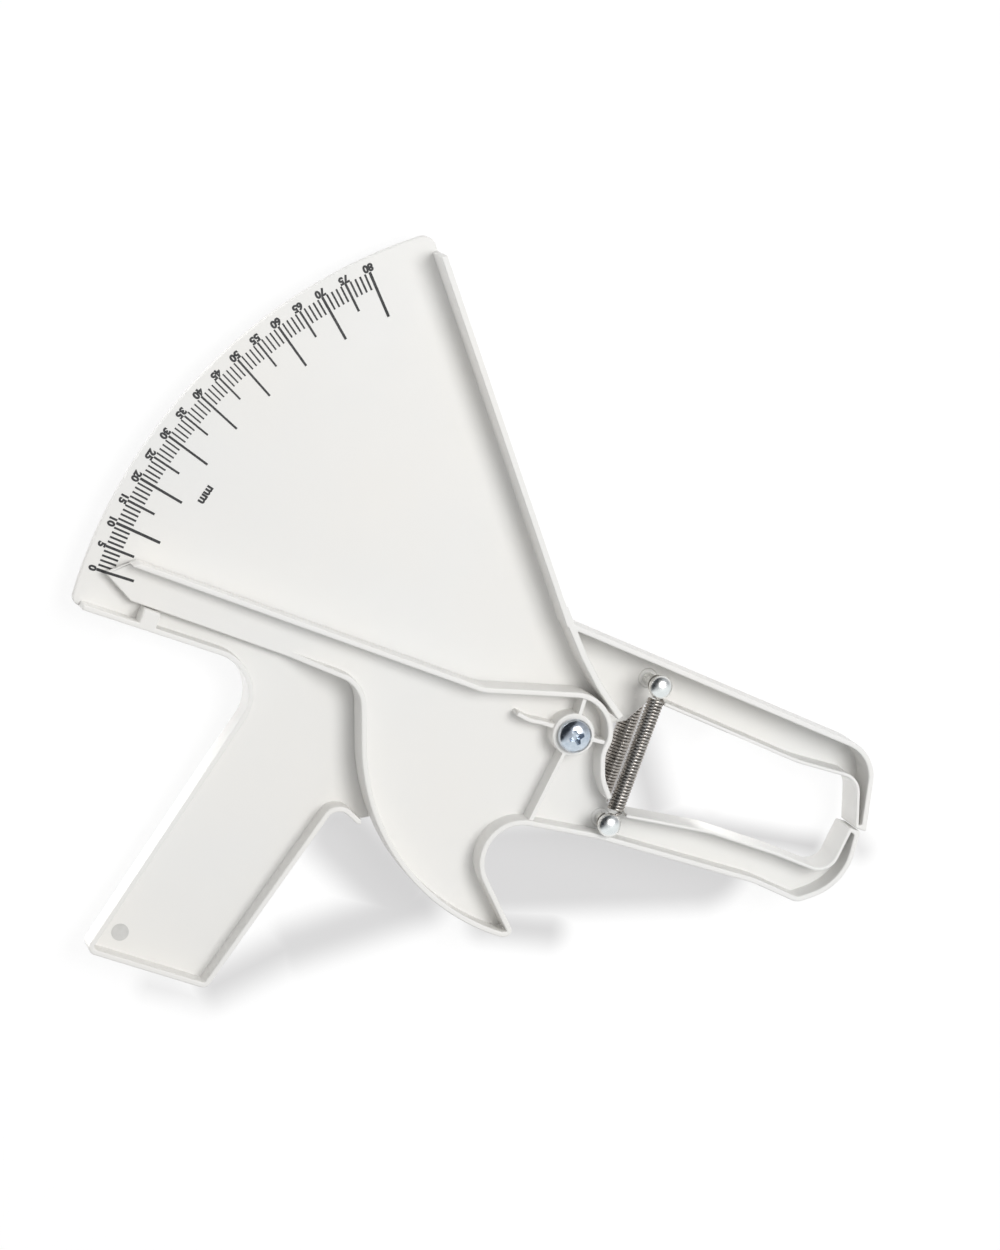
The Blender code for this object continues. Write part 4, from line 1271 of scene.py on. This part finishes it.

# Each stroke gives start, end, radius, soft rim and strength of a painted shadow, in metres from
# the screw. The last one is a darker painted shade on the floor seen between the two springs.
STROKES = [
    ((-0.0168, -0.0485), (0.0494, -0.0506), 0.0155, 0.0055, 0.353),
    ((-0.0232, -0.0669), (-0.0023, -0.0703), 0.0050, 0.0055, 0.353),
    ((-0.0716, -0.0337), (-0.0526, -0.0546), 0.0112, 0.0065, 0.353),
    ((-0.1133, -0.0815), (-0.0877, -0.0699), 0.0058, 0.0070, 0.353),
    ((-0.0877, -0.0699), (-0.0453, -0.0584), 0.0072, 0.0065, 0.353),
    ((-0.1341, -0.0801), (-0.1160, -0.0860), 0.0030, 0.0060, 0.18),
    ((0.0272, -0.0099), (0.0328, -0.0307), 0.0055, 0.0075, 0.36),
    ((0.0338, -0.0348), (0.0880, -0.0476), 0.0030, 0.0050, 0.42),
    ((0.1030, -0.0471), (0.1052, -0.0500), 0.0030, 0.0050, 0.25),
    ((0.0251, 0.0013), (0.0171, -0.0277), 0.0044, 0.0024, 0.6),
]


# %% Math in a material
def fed(tree, node, values):
    """Gives a node's inputs in turn a value or a link. None leaves an input as it is."""
    for socket, value in zip(node.inputs, values):
        if isinstance(value, bpy.types.NodeSocket):
            tree.links.new(value, socket)
        elif value is not None:
            socket.default_value = value
    return node


def math(tree, operation, *values):
    """One step of arithmetic in a material."""
    step = tree.nodes.new("ShaderNodeMath")
    step.operation = operation
    return fed(tree, step, values).outputs[0]


def vector_math(tree, operation, first, second, result="Vector"):
    """One step of vector arithmetic in a material."""
    step = tree.nodes.new("ShaderNodeVectorMath")
    step.operation = operation
    return fed(tree, step, (first, second)).outputs[result]


def mixed(tree, share, first, second):
    """The second shader where share is 1, the first where it is 0."""
    return fed(tree, tree.nodes.new("ShaderNodeMixShader"), (share, first, second)).outputs[0]


# %% Shade of one stroke
def stroke_shade(tree, where, start, end, radius, soft, strength):
    """The strength inside a soft stroke from start to end, 0 outside it."""
    a = PIVOT + Vector(start)
    span = (PIVOT + Vector(end) - a).to_3d()
    away = vector_math(tree, "SUBTRACT", where, a.to_3d())
    along = vector_math(tree, "DOT_PRODUCT", away, span, "Value")
    share = math(tree, "DIVIDE", along, span.xy.length_squared)
    share.node.use_clamp = True
    line = tree.nodes.new("ShaderNodeVectorMath")
    line.operation = "SCALE"
    line.inputs[0].default_value = span
    tree.links.new(share, line.inputs["Scale"])
    edge = tree.nodes.new("ShaderNodeMapRange")
    edge.interpolation_type = "SMOOTHSTEP"
    edge.inputs["From Min"].default_value = radius + soft
    edge.inputs["From Max"].default_value = radius - soft
    edge.inputs["To Max"].default_value = strength
    gap = vector_math(tree, "DISTANCE", away, line.outputs["Vector"], "Value")
    tree.links.new(gap, edge.inputs["Value"])
    return edge.outputs["Result"]


# %% Paper with its strokes
paper, tree, shader = shader_of("floor_paper")
shader.inputs["Base Color"].default_value = (0.92, 0.92, 0.92, 1.0)
shader.inputs["Roughness"].default_value = 0.9
shader.inputs["Specular IOR Level"].default_value = 0.0
ground = tree.nodes.new("ShaderNodeNewGeometry").outputs["Position"]
shades = [stroke_shade(tree, ground, *stroke) for stroke in STROKES]
dark = shades[0]
for shade in shades[1:]:
    dark = math(tree, "MAXIMUM", dark, shade)
print(len(shades), "soft strokes on the floor")

# %% [markdown]
# ## Floor as the camera sees it
# A floor bright enough to be pure white under lamps alone would need lamps that burn out the
# object. So for rays from the camera and from mirrors the floor glows almost white by itself, and
# a small share of it is still lit by the lamps, which lets real shadows show. All other rays meet
# plain paper, so the light that the floor throws up onto the tool stays natural.

# %% Floor as the camera sees it
GLOW = 0.88
LIT_SHARE = 0.14
SHADOW_TONE = (0.146, 0.136, 0.144)
tone = two_tone(tree, dark, (1.0, 1.0, 1.0), SHADOW_TONE)
glow = tree.nodes.new("ShaderNodeEmission")
glow.inputs["Strength"].default_value = GLOW
tree.links.new(tone, glow.inputs["Color"])
lit = tree.nodes.new("ShaderNodeBsdfDiffuse")
tree.links.new(tone, lit.inputs["Color"])
black = tree.nodes.new("ShaderNodeEmission")
black.inputs["Strength"].default_value = 0.0
dim = mixed(tree, LIT_SHARE, black.outputs[0], lit.outputs[0])
seen = fed(tree, tree.nodes.new("ShaderNodeAddShader"), (glow.outputs[0], dim)).outputs[0]
rays = tree.nodes.new("ShaderNodeLightPath").outputs
mirrors = math(tree, "MAXIMUM", rays["Is Glossy Ray"], rays["Is Transmission Ray"])
straight = math(tree, "MAXIMUM", rays["Is Camera Ray"], mirrors)
tree.links.new(mixed(tree, straight, shader.outputs[0], seen),
               tree.nodes["Material Output"].inputs["Surface"])
floor_mesh.materials.append(paper)
print("floor look of", len(tree.nodes), "nodes")

# %% [markdown]
# ## Sky and mirrored room
# The world does three things. The camera sees plain white. The plastic gets an even soft light
# from all round. The metals need something to mirror, or they would look like grey paint, so
# glossy rays see a room that is grey on one side, bright on the other and almost black in one
# direction. That dark patch draws the black lines in the pins' heads and between the coils.

# %% World
world = bpy.data.worlds.new("studio")
bpy.context.scene.world = world
world.use_nodes = True
sky = world.node_tree
WHITE = (1.0, 1.0, 1.0)
EVEN_LIGHT = 0.50


def toward(tree, direction, low, high):
    """0 to 1 as the sky's direction turns from low to high along a stated direction."""
    where = tree.nodes.new("ShaderNodeTexCoord").outputs["Generated"]
    along = vector_math(tree, "DOT_PRODUCT", where, Vector(direction).normalized(), "Value")
    return spread(tree, along, 0.0, 1.0, low, high)


room_tone = two_tone(sky, toward(sky, (0.25, -1.0, 0.0), -0.05, 0.40),
                     (0.40, 0.42, 0.45), (0.92, 0.97, 1.0))
dark_side = two_tone(sky, toward(sky, (-0.75, 0.66, 0.0), 0.22, 0.42),
                     WHITE, (0.05, 0.06, 0.07))
room_mix = sky.nodes.new("ShaderNodeMix")
room_mix.data_type = "RGBA"
room_mix.blend_type = "MULTIPLY"
room_mix.inputs["Factor"].default_value = 1.0
sky.links.new(room_tone, room_mix.inputs["A"])
sky.links.new(dark_side, room_mix.inputs["B"])
print("mirrored room made")

# %% What each ray sees
backdrop = sky.nodes["Background"]
backdrop.inputs["Color"].default_value = (*WHITE, 1.0)
backdrop.inputs["Strength"].default_value = EVEN_LIGHT
white = sky.nodes.new("ShaderNodeBackground")
white.inputs["Color"].default_value = (*WHITE, 1.0)
studio_room = sky.nodes.new("ShaderNodeBackground")
sky.links.new(room_mix.outputs["Result"], studio_room.inputs["Color"])
sky_rays = sky.nodes.new("ShaderNodeLightPath").outputs
for_objects = mixed(sky, sky_rays["Is Glossy Ray"], backdrop.outputs[0], studio_room.outputs[0])
for_all = mixed(sky, sky_rays["Is Camera Ray"], for_objects, white.outputs[0])
sky.links.new(for_all, sky.nodes["World Output"].inputs["Surface"])
print("sky of", len(sky.nodes), "nodes")

# %% [markdown]
# ## Lamps
# One round soft lamp high above, a little to the right, draws the short soft shadows under the
# rims. In the photo the outer edges of handle and scale plate melt into the white ground. A low
# strip lamp beside each of them does that, and a small one in the mouth lights the jaws' inner
# walls. They are hidden from the camera.

# %% Key lamp
key_light = bpy.data.lights.new("key_lamp", "AREA")
key_light.shape = "DISK"
key_light.size = 0.70
key_light.energy = 10.0
key_light.color = (1.0, 0.997, 0.99)
FROM_OBJECT = Vector((0.42, 0.30, 1.25))
key_lamp = added("key_lamp", key_light, Vector((0.0, 0.0, 0.012)) + FROM_OBJECT)
key_lamp.rotation_mode = "QUATERNION"
key_lamp.rotation_quaternion = FROM_OBJECT.to_track_quat("Z", "Y")
print("key lamp", round(FROM_OBJECT.length, 2), "m away")


# %% Edge strips
def edge_strip(name, middle, facing, length, watts, height=-0.001):
    """A low strip lamp that shines level, in the direction facing, beside an edge."""
    lamp = bpy.data.lights.new(name, "AREA")
    lamp.shape = "RECTANGLE"
    lamp.size, lamp.size_y = length, 0.006
    lamp.energy = watts
    holder = added(name, lamp)
    place = PIVOT + middle
    across = polar(1.0, facing + 90.0).to_3d()
    back = polar(1.0, facing + 180.0).to_3d()
    turn = Matrix((across, Vector((0, 0, 1)), back)).transposed().to_4x4()
    holder.matrix_world = Matrix.Translation((place.x, place.y, BACK + height)) @ turn
    holder.visible_camera = False
    return holder


grip_middle = (handle_top + handle_low_back) / 2
strips = [
    edge_strip("grip_strip", grip_middle + polar(0.045, 145.0) + polar(0.018, 235.0), -35.0,
               0.080, 0.024),
    edge_strip("scale_strip", polar(0.250, 136.0), -44.0, 0.150, 0.042),
    edge_strip("jaw_strip", Vector((0.045, -0.017)), -17.0, 0.014, 0.0036, 0.009),
]
print(len(strips), "edge strips")
